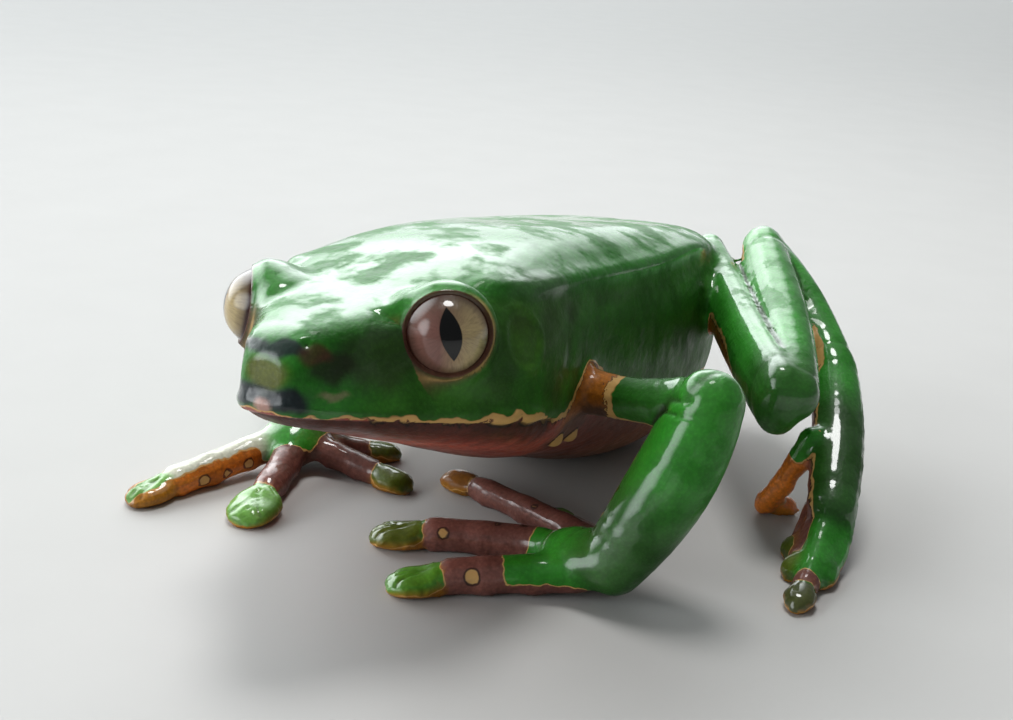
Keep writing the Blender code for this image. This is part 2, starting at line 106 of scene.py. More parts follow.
# ---- Limbs ------------------------------------------------------------------------------
# Radii at the near end, the middle and the far end; how much taller than wide a section is;
# and the bow of the middle line, outwards, backwards and upwards.
SEGMENTS = {
    "upper_arm": dict(radii=(5.0, 2.8, 4.0), flat=1.0, bow=(0.0, 0.0, -1.2)),
    "forearm": dict(radii=(4.4, 5.2, 4.2), flat=1.0, bow=(0.9, 0.4, 0.0)),
    "hand": dict(radii=(4.3, 4.9, 4.6), flat=0.76, bow=(0.0, 0.0, 0.0)),
    "thigh": dict(radii=(3.2, 3.5, 3.5), flat=1.5, bow=(0.2, 0.0, -1.0)),
    "shank": dict(radii=(3.3, 4.1, 3.3), flat=1.1, bow=(0.8, 0.0, -1.0)),
    "tarsus": dict(radii=(3.0, 3.0, 3.2), flat=1.0, bow=(0.2, 1.4, 0.8)),
    "foot": dict(radii=(3.3, 3.7, 3.4), flat=0.85, bow=(0.6, 0.0, 0.4)),
}
HEEL_STEP = (0.8, 0.8, -0.6)    # from the shank's end to the tarsus's start, outwards, back, up
ARMS = {
    "left": dict(shoulder=(9.0, 46.5, 22.0), elbow=(36.4, 38.8, 26.0), wrist=(28.4, 33.4, 5.2),
                 knuckles=(21.5, 35.0, 3.4)),
    "right": dict(shoulder=(-11.0, 46.0, 22.0), elbow=(-35.0, 59.6, 21.0),
                  wrist=(-28.0, 48.0, 5.0), knuckles=(-27.6, 42.6, 3.6)),
}
# Each digit: root, height of the root, bend, tip in plan, half thickness, half width of disc.
FINGERS = {
    "left": (
        ((26.0, 39.0), 4.0, (19.5, 46.2), (12.4, 48.6), 1.8, 2.1),
        ((24.0, 38.8), 3.8, (13.2, 46.4), (-5.6, 51.6), 2.0, 2.7),
        ((24.0, 35.4), 3.4, (15.0, 39.4), (-4.4, 29.6), 2.4, 3.3),
        ((24.5, 31.6), 3.2, (17.0, 29.0), (4.4, 19.6), 2.5, 3.2),
    ),
    "right": (
        ((-25.4, 47.4), 3.8, (-20.5, 51.5), (-15.6, 54.6), 1.8, 2.1),
        ((-25.0, 44.6), 3.9, (-18.5, 46.6), (-8.0, 45.0), 2.0, 2.7),
        ((-26.4, 43.2), 3.8, (-23.5, 34.0), (-20.4, 23.1), 2.3, 3.7),
        ((-29.4, 43.4), 3.9, (-32.8, 34.0), (-37.0, 19.8), 2.4, 2.9),
    ),
}
LEGS = {
    "left": dict(hip=(14.0, 102.5, 26.8), knee=(39.2, 61.2, 20.5),
                 shin=(41.0, 62.0, 21.2), heel=(23.4, 101.4, 30.8),
                 instep=(41.4, 83.4, 18.8), ball=(48.2, 61.4, 6.6)),
    "right": dict(hip=(-9.0, 101.5, 21.0), knee=(-40.4, 73.0, 14.6),
                  shin=(-42.8, 74.0, 15.2), heel=(-17.0, 109.6, 20.4),
                  instep=(-38.0, 93.2, 9.0), ball=(-42.8, 71.6, 3.9)),
}
TOES = {
    "left": (
        ((42.6, 68.4), 13.4, (32.6, 68.0), (41.2, 71.2), 1.6, 1.75),
        ((45.6, 65.0), 6.4, (44.6, 61.0), (44.4, 56.2), 1.4, 1.6),
        ((46.6, 63.4), 6.4, (46.4, 57.0), (46.2, 50.6), 1.6, 1.8),
        ((47.8, 62.4), 6.6, (48.6, 54.0), (49.2, 42.6), 1.8, 2.1),
        ((49.6, 63.0), 6.8, (50.4, 58.0), (50.0, 50.2), 1.8, 2.0),
    ),
    "right": (
        ((-38.8, 78.4), 4.4, (-34.0, 76.6), (-26.8, 73.4), 2.1, 2.3),
        ((-39.8, 73.6), 3.8, (-37.2, 70.4), (-34.0, 66.2), 1.7, 2.0),
        ((-41.4, 71.8), 3.7, (-40.5, 67.0), (-39.4, 61.2), 1.9, 2.3),
        ((-43.2, 72.0), 3.8, (-44.0, 66.0), (-44.4, 58.6), 2.0, 2.5),
        ((-45.0, 73.2), 3.7, (-47.4, 69.4), (-49.4, 64.0), 1.9, 2.4),
    ),
}
DISC_ASPECT = 1.08              # a disc is this much longer than it is wide
DISC_THICKNESS = 1.5            # half of it
DISC_EDGE = 0.7                 # the edge keeps this share of it
DISC_BLUNTNESS = 2.5            # 2 gives an oval outline, more a squarer one
DISC_SWEEP = 0.79               # share of its outline before the rounded end takes over
STEM_TAPER = 0.12               # a digit loses this share of its thickness by its tip
FLOOR_BITE = 0.25               # how far a pad is pressed flat
SINK_POWER = 1.6                # how quickly a digit comes down to the floor
DISC_LENGTH = 1.95              # a disc's pattern is this many half widths long
DISC_BALL = (0.9, 1.25)         # a ball round a disc, in half widths: its middle's distance
                                # from the tip, and its radius


# ---- Curves and sections ----------------------------------------------------------------
def through(x, xs, ys):
    """Values at x of the smooth curve through (xs, ys): cubic pieces, averaged slopes."""
    steps = np.diff(xs)
    slopes = np.diff(ys) / steps
    inner = (slopes[:-1] * steps[1:] + slopes[1:] * steps[:-1]) / (steps[1:] + steps[:-1])
    tangents = np.concatenate([slopes[:1], inner, slopes[-1:]])
    x = np.clip(x, xs[0], xs[-1])
    i = np.clip(np.searchsorted(xs, x, side="right") - 1, 0, len(xs) - 2)
    h = steps[i]
    t = (x - xs[i]) / h
    return ((1 + 2 * t) * (1 - t) ** 2 * ys[i] + t * (1 - t) ** 2 * h * tangents[i]
            + t * t * (3 - 2 * t) * ys[i + 1] - t * t * (1 - t) * h * tangents[i + 1])


def body_to_world(points):
    """Pitches points of the body's frame, leans them over and lifts them to the lip's height."""
    x, y, z = np.moveaxis(np.asarray(points, float), -1, 0)
    pitched = -sin(PITCH) * y + cos(PITCH) * z
    return np.stack([cos(ROLL) * x - sin(ROLL) * pitched, cos(PITCH) * y + sin(PITCH) * z,
                     sin(ROLL) * x + cos(ROLL) * pitched + LIP_HEIGHT], axis=-1)


def world_to_body(points):
    """The inverse of body_to_world."""
    x, y, z = np.moveaxis(np.asarray(points, float), -1, 0)
    z = z - LIP_HEIGHT
    pitched = -sin(ROLL) * x + cos(ROLL) * z
    return np.stack([cos(ROLL) * x + sin(ROLL) * z, cos(PITCH) * y - sin(PITCH) * pitched,
                     sin(PITCH) * y + cos(PITCH) * pitched], axis=-1)


def sway(y):
    """How far the body's middle lies to its left."""
    return through(y, SPINE_SWAY[:, 0], SPINE_SWAY[:, 1])


def mouth_height(y):
    """Height of the mouth line in the body's frame: it falls evenly from the lip's front."""
    return -MOUTH_SLOPE * y


def body_reach(y, across, rise):
    """Distance from a section's middle to the skin in the direction (across, rise): a half
    oval above the widest line and another below it, each squared off by its own power, less
    the cheek's hollow. Also returns the height of the widest line."""
    width, mid, back, belly, square_up, square_low = (
        through(y, STATIONS[:, 0], STATIONS[:, k]) for k in range(1, 7))
    upper = rise >= 0.0
    height = np.where(upper, back - mid, mid - belly)
    power = np.where(upper, square_up, square_low)
    reach = ((np.abs(across) / width) ** power + (np.abs(rise) / height) ** power) ** (-1.0 / power)
    lift = mid + rise * reach
    from_hollow = np.hypot((y - HOLLOW_PLACE[0]) / HOLLOW_REACH[0],
                           (lift - HOLLOW_PLACE[1]) / HOLLOW_REACH[1])
    return reach - np.where(upper, CHEEK_HOLLOW * np.exp(-from_hollow ** 2), 0.0), mid


def body_surface(rows=150, sides=112):
    """Head and trunk as a grid: section after section from snout to vent, round each one."""
    even = np.linspace(0.0, 1.0, rows)[:, None]
    y = STATIONS[-1, 0] * (0.5 * even + 0.5 * even ** 1.8) + np.zeros((1, sides))
    angle = (np.arange(sides) + 0.5) * 2.0 * pi / sides + np.zeros((rows, 1))
    across, rise = np.sin(angle), np.cos(angle)
    reach, mid = body_reach(y, across, rise)
    return body_to_world(np.stack([across * reach + sway(y), y, mid + rise * reach], axis=-1))


def body_gap(points):
    """Rough distance of points in the body's frame outside head and trunk, less than 0 inside."""
    x, y, z = np.moveaxis(points, -1, 0)
    x = x - sway(y)
    z = z - through(y, STATIONS[:, 0], STATIONS[:, 2])
    length = np.hypot(x, z) + 1e-9
    reach, _ = body_reach(y, x / length, z / length)
    return length - reach + np.maximum(-y, 0.0) + np.maximum(y - STATIONS[-1, 0], 0.0)


# ---- Limbs and digits as lines with radii -----------------------------------------------
class Limb:
    """A limb's length: its middle line, half widths and half heights, and at each point the
    level direction across it and the direction up, square to the line."""

    def __init__(self, name, centres, widths, heights):
        self.name, self.centres, self.widths, self.heights = name, centres, widths, heights
        tangents = np.gradient(centres, axis=0)
        self.tangents = tangents / np.linalg.norm(tangents, axis=1)[:, None]
        level = np.cross(self.tangents, (0.0, 0.0, 1.0))
        level /= np.linalg.norm(level, axis=1)[:, None]
        turned = np.where(np.sum(level[1:] * level[:-1], axis=1) < 0.0, -1.0, 1.0)
        level[1:] *= np.cumprod(turned)[:, None]
        self.across = level
        self.up = np.cross(level, self.tangents)
        steps = np.linalg.norm(np.diff(centres, axis=0), axis=1)
        self.along = np.concatenate([[0.0], np.cumsum(steps)])

    def surface(self, sides=28, domes=5):
        """Oval sections square to the line, with a rounded end at each end of it."""
        angle = np.arange(sides) * 2.0 * pi / sides
        ring = (np.cos(angle)[None, :, None] * (self.widths[:, None] * self.across)[:, None]
                + np.sin(angle)[None, :, None] * (self.heights[:, None] * self.up)[:, None])
        tilt = np.linspace(0.0, pi / 2, domes + 2)[1:-1, None, None]

        def dome(end, outward):
            radius = min(self.widths[end], self.heights[end])
            return (self.centres[end] + ring[end][None] * np.cos(tilt)
                    + outward * radius * np.sin(tilt))

        return np.concatenate([dome(0, -self.tangents[0])[::-1],
                               self.centres[:, None] + ring, dome(-1, self.tangents[-1])])

    def disc_start(self):
        """Where a digit's disc begins, as a distance along the line."""
        widest = self.widths[self.along > 0.7 * self.along[-1]].max()
        return self.along[-1] - DISC_LENGTH * widest

    def from_disc(self, points):
        """Distance of points outside a ball round a digit's disc, less than 0 inside it."""
        widest = self.widths.max()
        middle = self.centres[self.along > self.along[-1] - DISC_BALL[0] * widest][0]
        return np.linalg.norm(points - middle, axis=1) - DISC_BALL[1] * widest

    def place(self, points):
        """For each point: distance along the line, angle round it from the level direction,
        and rough distance outside the skin. Each is read at the nearest stretch of the line."""
        start, step = self.centres[:-1], np.diff(self.centres, axis=0)
        length = np.sum(step ** 2, axis=1)
        share = np.einsum("ijk,jk->ij", points[:, None] - start, step) / length
        share = np.clip(share, 0.0, 1.0)
        nearest = start + share[..., None] * step
        distance = np.linalg.norm(points[:, None] - nearest, axis=2)
        k = np.argmin(distance, axis=1)
        row = np.arange(len(points))
        share, away = share[row, k], points - nearest[row, k]

        def mixed(values):
            part = share.reshape((-1,) + (1,) * (values.ndim - 1))
            return values[k] * (1 - part) + values[k + 1] * part

        sideways = np.sum(away * mixed(self.across), axis=1)
        upward = np.sum(away * mixed(self.up), axis=1)
        angle = np.arctan2(upward, sideways)
        radius = 1.0 / np.hypot(np.cos(angle) / mixed(self.widths),
                                np.sin(angle) / mixed(self.heights))
        return mixed(self.along), angle, distance[row, k] - radius


def segment(name, start, end, radii, flat, bow, count=24):
    """A line bowed by half a sine, its radius the parabola through three values."""
    t = np.linspace(0.0, 1.0, count)
    line = np.outer(1 - t, start) + np.outer(t, end) + np.outer(np.sin(pi * t), bow)
    near, belly, far = radii
    widths = near * (1 - t) * (1 - 2 * t) + belly * 4 * t * (1 - t) + far * t * (2 * t - 1)
    return Limb(name, line, widths, widths * flat)


def digit(name, root, root_height, bend, tip, thickness, disc, stem_rings=16, disc_rings=14):
    """A finger or toe: a parabola in plan that sinks to the floor and ends in a flat disc."""
    t = np.linspace(0.0, 1.0, 80)
    plan = (np.outer((1 - t) ** 2, root) + np.outer(2 * t * (1 - t), bend) + np.outer(t * t, tip))
    length = np.concatenate([[0.0], np.cumsum(np.linalg.norm(np.diff(plan, axis=0), axis=1))])
    total = length[-1]
    half_disc = disc * DISC_ASPECT
    turn = np.linspace(0.0, DISC_SWEEP * pi, disc_rings)[1:]
    along = np.concatenate([np.linspace(0.0, total - 2 * half_disc, stem_rings),
                            total - half_disc - half_disc * np.cos(turn)])
    from_middle = np.abs((along - total + half_disc) / half_disc)
    from_disc = np.clip(1.0 - from_middle ** DISC_BLUNTNESS, 0.0, 1.0) ** (1 / DISC_BLUNTNESS)
    in_stem = along < total - half_disc
    neck = thickness * (1.0 - STEM_TAPER * along / total)
    widths = np.where(in_stem, np.maximum(neck, disc * from_disc), disc * from_disc)
    fade = np.clip((along - (total - 2.3 * half_disc)) / (1.1 * half_disc), 0.0, 1.0)
    heights = np.where(in_stem, neck * (1 - fade) + DISC_THICKNESS * fade,
                       DISC_THICKNESS * np.maximum(from_disc, DISC_EDGE))
    sink = np.clip(along / (total - 2.0 * half_disc), 0.0, 1.0)
    rest = heights - FLOOR_BITE
    levels = rest + (root_height - rest[0]) * (1.0 - sink) ** SINK_POWER
    centres = np.stack([np.interp(along, length, plan[:, 0]),
                        np.interp(along, length, plan[:, 1]), levels], axis=-1)
    return Limb(name, centres, widths, heights)


def all_limbs():
    """Every limb segment and digit, named as its CAD node."""
    limbs = []
    for side, sign in SIGN.items():
        mirror = np.array((sign, 1.0, 1.0))
        arm, leg = ARMS[side], LEGS[side]
        lengths = (("upper_arm", arm["shoulder"], arm["elbow"]),
                   ("forearm", arm["elbow"], arm["wrist"]),
                   ("hand", arm["wrist"], arm["knuckles"]),
                   ("thigh", leg["hip"], leg["knee"]),
                   ("shank", leg["shin"], leg["heel"]),
                   ("tarsus", np.add(leg["heel"], mirror * HEEL_STEP), leg["instep"]),
                   ("foot", leg["instep"], leg["ball"]))
        for kind, start, end in lengths:
            shape = SEGMENTS[kind]
            limbs.append(segment(f"{kind}_{side}", start, end, shape["radii"], shape["flat"],
                                 mirror * shape["bow"]))
        for kind, rows in (("finger", FINGERS[side]), ("toe", TOES[side])):
            for number, row in enumerate(rows, 1):
                limbs.append(digit(f"{kind}_{number}_{side}", *row))
    return limbs


# ---- Meshes -----------------------------------------------------------------------------
def ring_faces(rows, sides, first=0):
    """Quads of a grid whose rows close on themselves, and a flat face over each end."""
    row, k = np.meshgrid(np.arange(rows - 1), np.arange(sides), indexing="ij")
    a, b = row * sides + k, row * sides + (k + 1) % sides
    quads = np.stack([a, b, b + sides, a + sides], axis=-1).reshape(-1, 4) + first
    last = first + (rows - 1) * sides
    return quads.tolist() + [list(range(first, first + sides))[::-1],
                             list(range(last, last + sides))]


def ball_surface(centre, radius, rows=40, sides=48):
    """A ball as a grid: polar angle down its rows, longitude round each."""
    polar = np.linspace(0.01, pi - 0.01, rows)[:, None]
    turn = np.arange(sides) * 2.0 * pi / sides
    unit = np.stack([np.sin(polar) * np.cos(turn), np.sin(polar) * np.sin(turn),
                     np.cos(polar) + 0.0 * turn], axis=-1)
    return centre + radius * unit


def mesh_of(name, points, faces):
    """A mesh from points in millimetres, with the animal's plan centred on the origin."""
    mesh = bpy.data.meshes.new(name)
    mesh.from_pydata((points - (CENTRE[0], CENTRE[1], 0.0)) * MM, [], faces)
    mesh.validate()
    return mesh


def get_points(mesh):
    flat = np.empty(len(mesh.vertices) * 3, np.float32)
    mesh.vertices.foreach_get("co", flat)
    return flat.reshape(-1, 3).astype(float) / MM + (CENTRE[0], CENTRE[1], 0.0)


def set_points(mesh, points):
    flat = ((points - (CENTRE[0], CENTRE[1], 0.0)) * MM).astype(np.float32)
    mesh.vertices.foreach_set("co", flat.ravel())
    mesh.update()


def get_edges(mesh):
    flat = np.empty(len(mesh.edges) * 2, np.int32)
    mesh.edges.foreach_get("vertices", flat)
    return flat.reshape(-1, 2)


def get_normals(mesh):
    flat = np.empty(len(mesh.vertices) * 3, np.float32)
    mesh.vertex_normals.foreach_get("vector", flat)
    return flat.reshape(-1, 3).astype(float)


def relax(points, edges, rounds, share=1.0, back=0.52):
    """Each round moves a point half way to its neighbours' mean, then back by a little more,
    which takes away ripples and keeps the volume. share scales it, all over or point by point."""
    a, b = edges.T
    count = np.bincount(a, minlength=len(points)) + np.bincount(b, minlength=len(points))
    share = np.broadcast_to(share, len(points))[:, None]
    for _ in range(rounds):
        for step in (0.5, -back):
            total = np.stack([np.bincount(a, points[b, k], len(points))
                              + np.bincount(b, points[a, k], len(points))
                              for k in range(3)], axis=1)
            points = points + step * share * (total / count[:, None] - points)
    return points


def refine(mesh, chosen):
    """Halves the faces' edges where both ends are chosen."""
    grid = bmesh.new()
    grid.from_mesh(mesh)
    edges = [edge for edge in grid.edges
             if chosen[edge.verts[0].index] and chosen[edge.verts[1].index]]
    bmesh.ops.subdivide_edges(grid, edges=edges, cuts=1, use_grid_fill=True)
    grid.to_mesh(mesh)
    grid.free()


def remeshed(surfaces, voxel):
    """One closed skin of even quads round all the given closed surfaces together."""
    points, faces, first = [], [], 0
    for surface in surfaces:
        rows, sides = surface.shape[:2]
        faces += ring_faces(rows, sides, first)
        points.append(surface.reshape(-1, 3))
        first += rows * sides
    raw = bpy.data.objects.new("raw", mesh_of("raw", np.concatenate(points), faces))
    bpy.context.scene.collection.objects.link(raw)
    modifier = raw.modifiers.new("remesh", "REMESH")
    modifier.mode = "VOXEL"
    modifier.voxel_size = voxel * MM
    depsgraph = bpy.context.evaluated_depsgraph_get()
    mesh = bpy.data.meshes.new_from_object(raw.evaluated_get(depsgraph))
    bpy.data.objects.remove(raw)
    return mesh


def smooth_step(x):
    """0 below x = 0, 1 above x = 1, and an even S between: 3 x squared less 2 x cubed."""
    x = np.clip(x, 0.0, 1.0)
    return x * x * (3.0 - 2.0 * x)


def bump(x, width):
    """A soft ridge one high round x = 0."""
    return np.exp(-(x / width) ** 2)


# ---- Eyes and lids ----------------------------------------------------------------------
LID_SPREAD = (radians(66.0), radians(60.0))     # from the line of sight to the lids' edge,
                                                # level and upright
LID_RIM = 5.5                   # the lids' edge lies this far from the eye's middle
LID_ROUNDING = 0.035            # share of the ring that the rounded edge takes up inwards
LID_SPAN = 0.22                 # the edge's turn is spread over this share of the ring
HIDDEN_RING = 0.78              # inside this ring the skin only closes the hole behind the eye
LID_CREASE = (1.15, 0.20)       # the crease below the lower lid: its ring and its depth
UNDER_LID = 4.7                 # the skin runs on behind the eyeball's surface
BROW_CENTRE = (9.2, 16.6, 8.4)  # a swelling on the left that carries the lid
BROW_REACH = (4.9, 7.0, 5.7)    # and how far it spreads to the side, along and up


def eye_frame(side):
    """The middle of an eye and its three directions: to its right, up and outwards."""
    sign = SIGN[side]
    centre = body_to_world((sign * EYE_CENTRE[0] + sway(EYE_CENTRE[1]), *EYE_CENTRE[1:]))
    azimuth = sign * EYE_AZIMUTH - EYE_TURN
    rise = EYE_RISE + sign * EYE_LEAN
    right = np.array((cos(azimuth), sin(azimuth), 0.0))
    outward = np.array((sin(azimuth) * cos(rise), -cos(azimuth) * cos(rise), sin(rise)))
    return centre, right, np.cross(outward, right), outward


def lid_place(points, side):
    """Where points lie round an eye: distance from its middle, angle from the line of sight,
    level and upright share of the direction away from it, and the ring they are on, which is
    1 at the lids' edge and less inside it."""
    centre, right, up, outward = eye_frame(side)
    away = points - centre
    distance = np.linalg.norm(away, axis=1)
    unit = away / distance[:, None]
    angle = np.arccos(np.clip(unit @ outward, -1.0, 1.0))
    level, upright = unit @ right, unit @ up
    length = np.hypot(level, upright) + 1e-9
    level, upright = level / length, upright / length
    ring = angle * np.hypot(level / LID_SPREAD[0], upright / LID_SPREAD[1])
    return distance, angle, level, upright, ring


def open_lids(points, side):
    """Moves the skin over an eye so that it follows the lids' profile: down to the rim, round
    it, and in behind the eyeball's surface, where it stays hidden."""
    centre, right, up, outward = eye_frame(side)
    distance, angle, level, upright, ring = lid_place(points, side)
    near = (ring < 1.30) & (distance < ORBIT_RADIUS + 3.0)
    outer = smooth_step((ring - 1.0) / 0.30)
    radius = LID_RIM + (distance - LID_RIM) * outer
    crease, depth = LID_CREASE
    radius = radius - depth * bump(ring - crease, 0.04) * smooth_step(0.6 - 2.0 * upright)
    turn = np.clip((1.0 - ring) / LID_SPAN, 0.0, 1.0) * pi / 2
    inside = ring < 1.0
    radius = np.where(inside, UNDER_LID + (LID_RIM - UNDER_LID) * np.cos(turn) ** 0.5, radius)
    new_ring = np.where(inside, 1.0 - LID_ROUNDING * np.sin(turn), ring)
    new_ring = np.where(ring < HIDDEN_RING, ring / HIDDEN_RING * (1.0 - LID_ROUNDING), new_ring)
    angle = angle * new_ring / np.maximum(ring, 1e-6)
    sideways = np.sin(angle) * radius
    moved = centre + (np.outer(sideways * level, right) + np.outer(sideways * upright, up)
                      + np.outer(np.cos(angle) * radius, outward))
    return np.where(near[:, None], moved, points)


# ---- The skin's colours -----------------------------------------------------------------
LEAF = (0.018, 0.180, 0.008)
# painted light: a lighter, yellower copy of the green for the limbs
LIT_LIMB_LEAF = (0.026, 0.240, 0.014)
# painted shade: a darker, duller copy of the green for the flanks and the head's sides
SHADED_FLANK_LEAF = (0.036, 0.100, 0.010)
# painted shade: a dark copy of the limbs' green
SHADE_LEAF = (0.018, 0.062, 0.008)
LEAF_PALE = (0.13, 0.33, 0.045)
LIME = (0.075, 0.24, 0.014)
MILK = (0.72, 0.72, 0.58)
OLIVE = (0.085, 0.12, 0.006)
PEAT = (0.050, 0.058, 0.010)
# painted shade: near-black olive laid over the green where the head's side lies in shade
PAINTED_SHADE = (0.016, 0.018, 0.006)
# painted reflection: blue-black where the wet snout mirrors dark surroundings
DARK_REFLECTION = (0.006, 0.009, 0.016)
MOSS = (0.11, 0.12, 0.008)
BLUSH = (0.50, 0.27, 0.22)
THROAT = (0.38, 0.078, 0.050)
RUST = (0.085, 0.026, 0.014)
EMBER = (0.50, 0.075, 0.030)
AMBER = (0.52, 0.165, 0.014)
RUSSET = (0.27, 0.098, 0.012)
COCOA = (0.21, 0.074, 0.055)
UMBER = (0.10, 0.050, 0.030)
BELLY = (0.26, 0.14, 0.075)
CREAM = (0.62, 0.36, 0.12)
ORANGE = (0.72, 0.20, 0.016)
HONEY = (0.50, 0.20, 0.012)
MARBLING = (0.03, 0.012, 0.010) # fine dark veins in the brown
SPOT_RIM = (0.018, 0.008, 0.006)
FOLD_SHADE = (0.012, 0.008, 0.005)

# Edge of the green on the flanks: distance from the snout, height.
GREEN_EDGE = np.array(((0.0, 0.7), (10.0, 0.3), (18.0, 0.0), (20.5, 0.3), (27.5, 0.0),
                       (31.0, -1.0), (35.0, -1.3), (37.0, -0.7), (39.5, 0.9), (42.0, 2.4),
                       (46.0, 3.6), (49.5, 3.0), (53.0, 0.6), (60.0, -1.2), (70.0, -1.6),
                       (80.0, -1.4), (95.0, 0.0), (104.0, 3.0), (111.0, 6.0)))
# How strong the cream line along that edge is.
EDGE_LINE = np.array(((0.0, 0.25), (8.0, 0.5), (14.0, 0.8), (30.0, 1.0), (33.0, 0.7),
                      (36.0, 1.0), (46.0, 0.9), (60.0, 0.8), (104.0, 0.7), (111.0, 0.4)))

# Soft patches on the head's green: middle (to either side, from the snout, height), reach in
# the same directions, colour and strength. The near-black olive patches on the sides of the
# head are painted shade.
HEAD_PATCHES = (
    ((10.0, 9.5, 6.8), (6.0, 7.5, 3.6), PAINTED_SHADE, 0.75),
    ((18.0, 31.0, 11.5), (6.0, 9.0, 5.0), PAINTED_SHADE, 0.50),
    ((18.8, 32.0, 6.0), (4.0, 3.2, 6.5), PAINTED_SHADE, 0.55),
    ((17.5, 21.4, 6.5), (5.0, 2.4, 4.5), PAINTED_SHADE, 0.45),
    ((17.5, 25.8, 8.2), (5.0, 2.7, 3.6), LIME, 0.85),
    ((14.0, 19.0, 2.6), (7.0, 7.5, 1.8), LIME, 0.20),
    ((6.5, 3.6, 5.6), (3.0, 2.4, 1.8), PAINTED_SHADE, 0.80),
    ((0.0, 0.0, 4.6), (2.6, 2.5, 1.7), MOSS, 0.95),
    # painted reflections of dark surroundings on the snout's front, in blue-black
    ((2.9, 0.0, 2.0), (2.6, 2.5, 1.3), DARK_REFLECTION, 0.97),
    ((0.0, 0.0, 2.4), (2.2, 1.6, 0.9), DARK_REFLECTION, 0.90),
    ((1.8, 0.4, 7.4), (2.8, 1.6, 0.9), DARK_REFLECTION, 0.92),
    ((4.9, 2.0, 7.0), (1.9, 1.7, 1.1), RUST, 0.75),
    ((0.1, 0.0, 1.3), (0.9, 1.6, 0.8), BLUSH, 0.95),
    ((6.4, 3.7, 2.6), (1.8, 1.6, 0.45), BLUSH, 0.35),
)
# The same on the brown below: throat, armpits, chest and belly.
GROUND_PATCHES = (
    ((0.0, 16.0, -4.6), (13.0, 14.0, 2.0), EMBER, 0.75),
    ((18.5, 40.0, 0.8), (5.0, 5.0, 4.2), AMBER, 0.97),
    ((16.5, 44.0, -4.5), (6.0, 5.5, 3.6), UMBER, 0.80),
    ((0.0, 46.0, -11.0), (14.0, 12.0, 5.0), UMBER, 0.60),
    ((0.0, 66.0, -3.0), (26.0, 22.0, 9.0), UMBER, 0.75),
    ((0.0, 84.0, -12.0), (19.0, 26.0, 7.0), BELLY, 0.85),
)
# Cream spots with dark rims: to either side, from the snout, height, and how far they reach
# in these directions. Away from them their measure is FAR_FROM_SPOTS.
FAR_FROM_SPOTS = -9.0
BODY_SPOTS = (((17.7, 22.3, -0.2), (3.0, 2.4, 1.2)), ((19.0, 27.3, -0.5), (3.0, 2.3, 1.15)),
              ((16.3, 40.7, -5.2), (1.4, 1.4, 1.4)), ((15.3, 47.9, -5.7), (1.4, 1.4, 1.4)))
SPOT_RISE, WART_RISE = 0.35, 0.60   # how far they stand out, as a share of their least reach
WART_SIZE = 1.3                 # round ones wider than this stand out more, as warts
# A row of spots behind the arm, below the green's edge: how many, the first one's distance
# from the snout, and from each to the next.
FLANK_SPOTS = (9, 53.0, 6.2)

# Per kind of segment: the direction that its green faces on the left, half its spread in
# degrees, the strength of the cream line round it, and the colour below.
COATS = {
    "upper_arm": ((0.10, -0.50, 0.85), 112.0, 1.5, AMBER),
    "forearm": ((0.65, -0.76, 0.0), 112.0, 0.45, UMBER),
    "hand": ((0.25, -0.45, 0.85), 104.0, 0.45, UMBER),
    "thigh": ((0.55, -0.35, 0.75), 98.0, 0.8, AMBER),
    "shank": ((0.80, -0.35, 0.50), 128.0, 0.6, AMBER),
    "tarsus": ((0.92, 0.20, 0.45), 88.0, 2.2, COCOA),
    "foot": ((0.85, -0.30, 0.45), 108.0, 0.7, COCOA),
}
# Per digit: length of green from its root, colour of its stem, colour of its disc's top.
DIGIT_COATS = {
    "finger_1_left": (0.0, COCOA, LEAF_PALE), "finger_2_left": (0.0, COCOA, RUSSET),
    "finger_3_left": (7.6, COCOA, OLIVE), "finger_4_left": (9.2, COCOA, LIME),
    "finger_1_right": (0.0, COCOA, OLIVE), "finger_2_right": (0.0, COCOA, OLIVE),
    "finger_3_right": (1.0, COCOA, LEAF_PALE), "finger_4_right": (30.0, ORANGE, LEAF_PALE),
    "toe_1": (3.6, ORANGE, ORANGE), "toe_2": (0.0, COCOA, OLIVE),
    "toe_3": (0.0, COCOA, OLIVE), "toe_4": (14.0, COCOA, PEAT), "toe_5": (30.0, COCOA, LEAF),
}
# Half the spread of the colour on top of a digit, in degrees, and of a disc's inside its rim.
TOP_SPREADS = {"finger_4_right": 46.0, "toe_1_left": 170.0}
TOP_SPREAD = 94.0
RIM_START = 74.0
DIGIT_LINE = 0.22               # strength of the cream line round it
# Cream warts on the digits: distance along, angle round in degrees, size.
DIGIT_SPOTS = {
    "finger_3_left": ((20.0, 152.0, 0.7), (9.5, 80.0, 0.4), (13.0, 95.0, 0.3)),
    "finger_4_left": ((13.2, 158.0, 0.9), (16.6, 60.0, 0.4)),
    "finger_2_left": ((13.0, 120.0, 0.4),),
    "finger_4_right": ((6.9, 190.0, 0.8), (10.6, 195.0, 0.6), (14.4, 190.0, 0.8)),
    "toe_4_left": ((11.6, 150.0, 0.75), (14.2, 150.0, 0.6)),
    "toe_4_right": ((7.0, 60.0, 0.6),),
}


def painted(base, place, patches):
    """base colour with soft patches over it, each a bell curve of the distance to its middle
    measured in its own reaches, the same on both sides."""
    colour = np.broadcast_to(base, (len(place), 3)).astype(float)
    x, y, z = place.T
    mirrored = np.stack([np.abs(x - sway(y)), y + 0.35 * np.sin(1.9 * z + 0.8 * x),
                         z + 0.22 * np.sin(1.7 * y + 1.1 * x)], axis=1)
    for middle, reach, tint, strength in patches:
        far = np.sum(((mirrored - middle) / reach) ** 2, axis=1)
        weight = strength * smooth_step(2.1 * np.exp(-far) - 0.25)[:, None]
        colour = colour * (1.0 - weight) + np.array(tint) * weight
    return colour


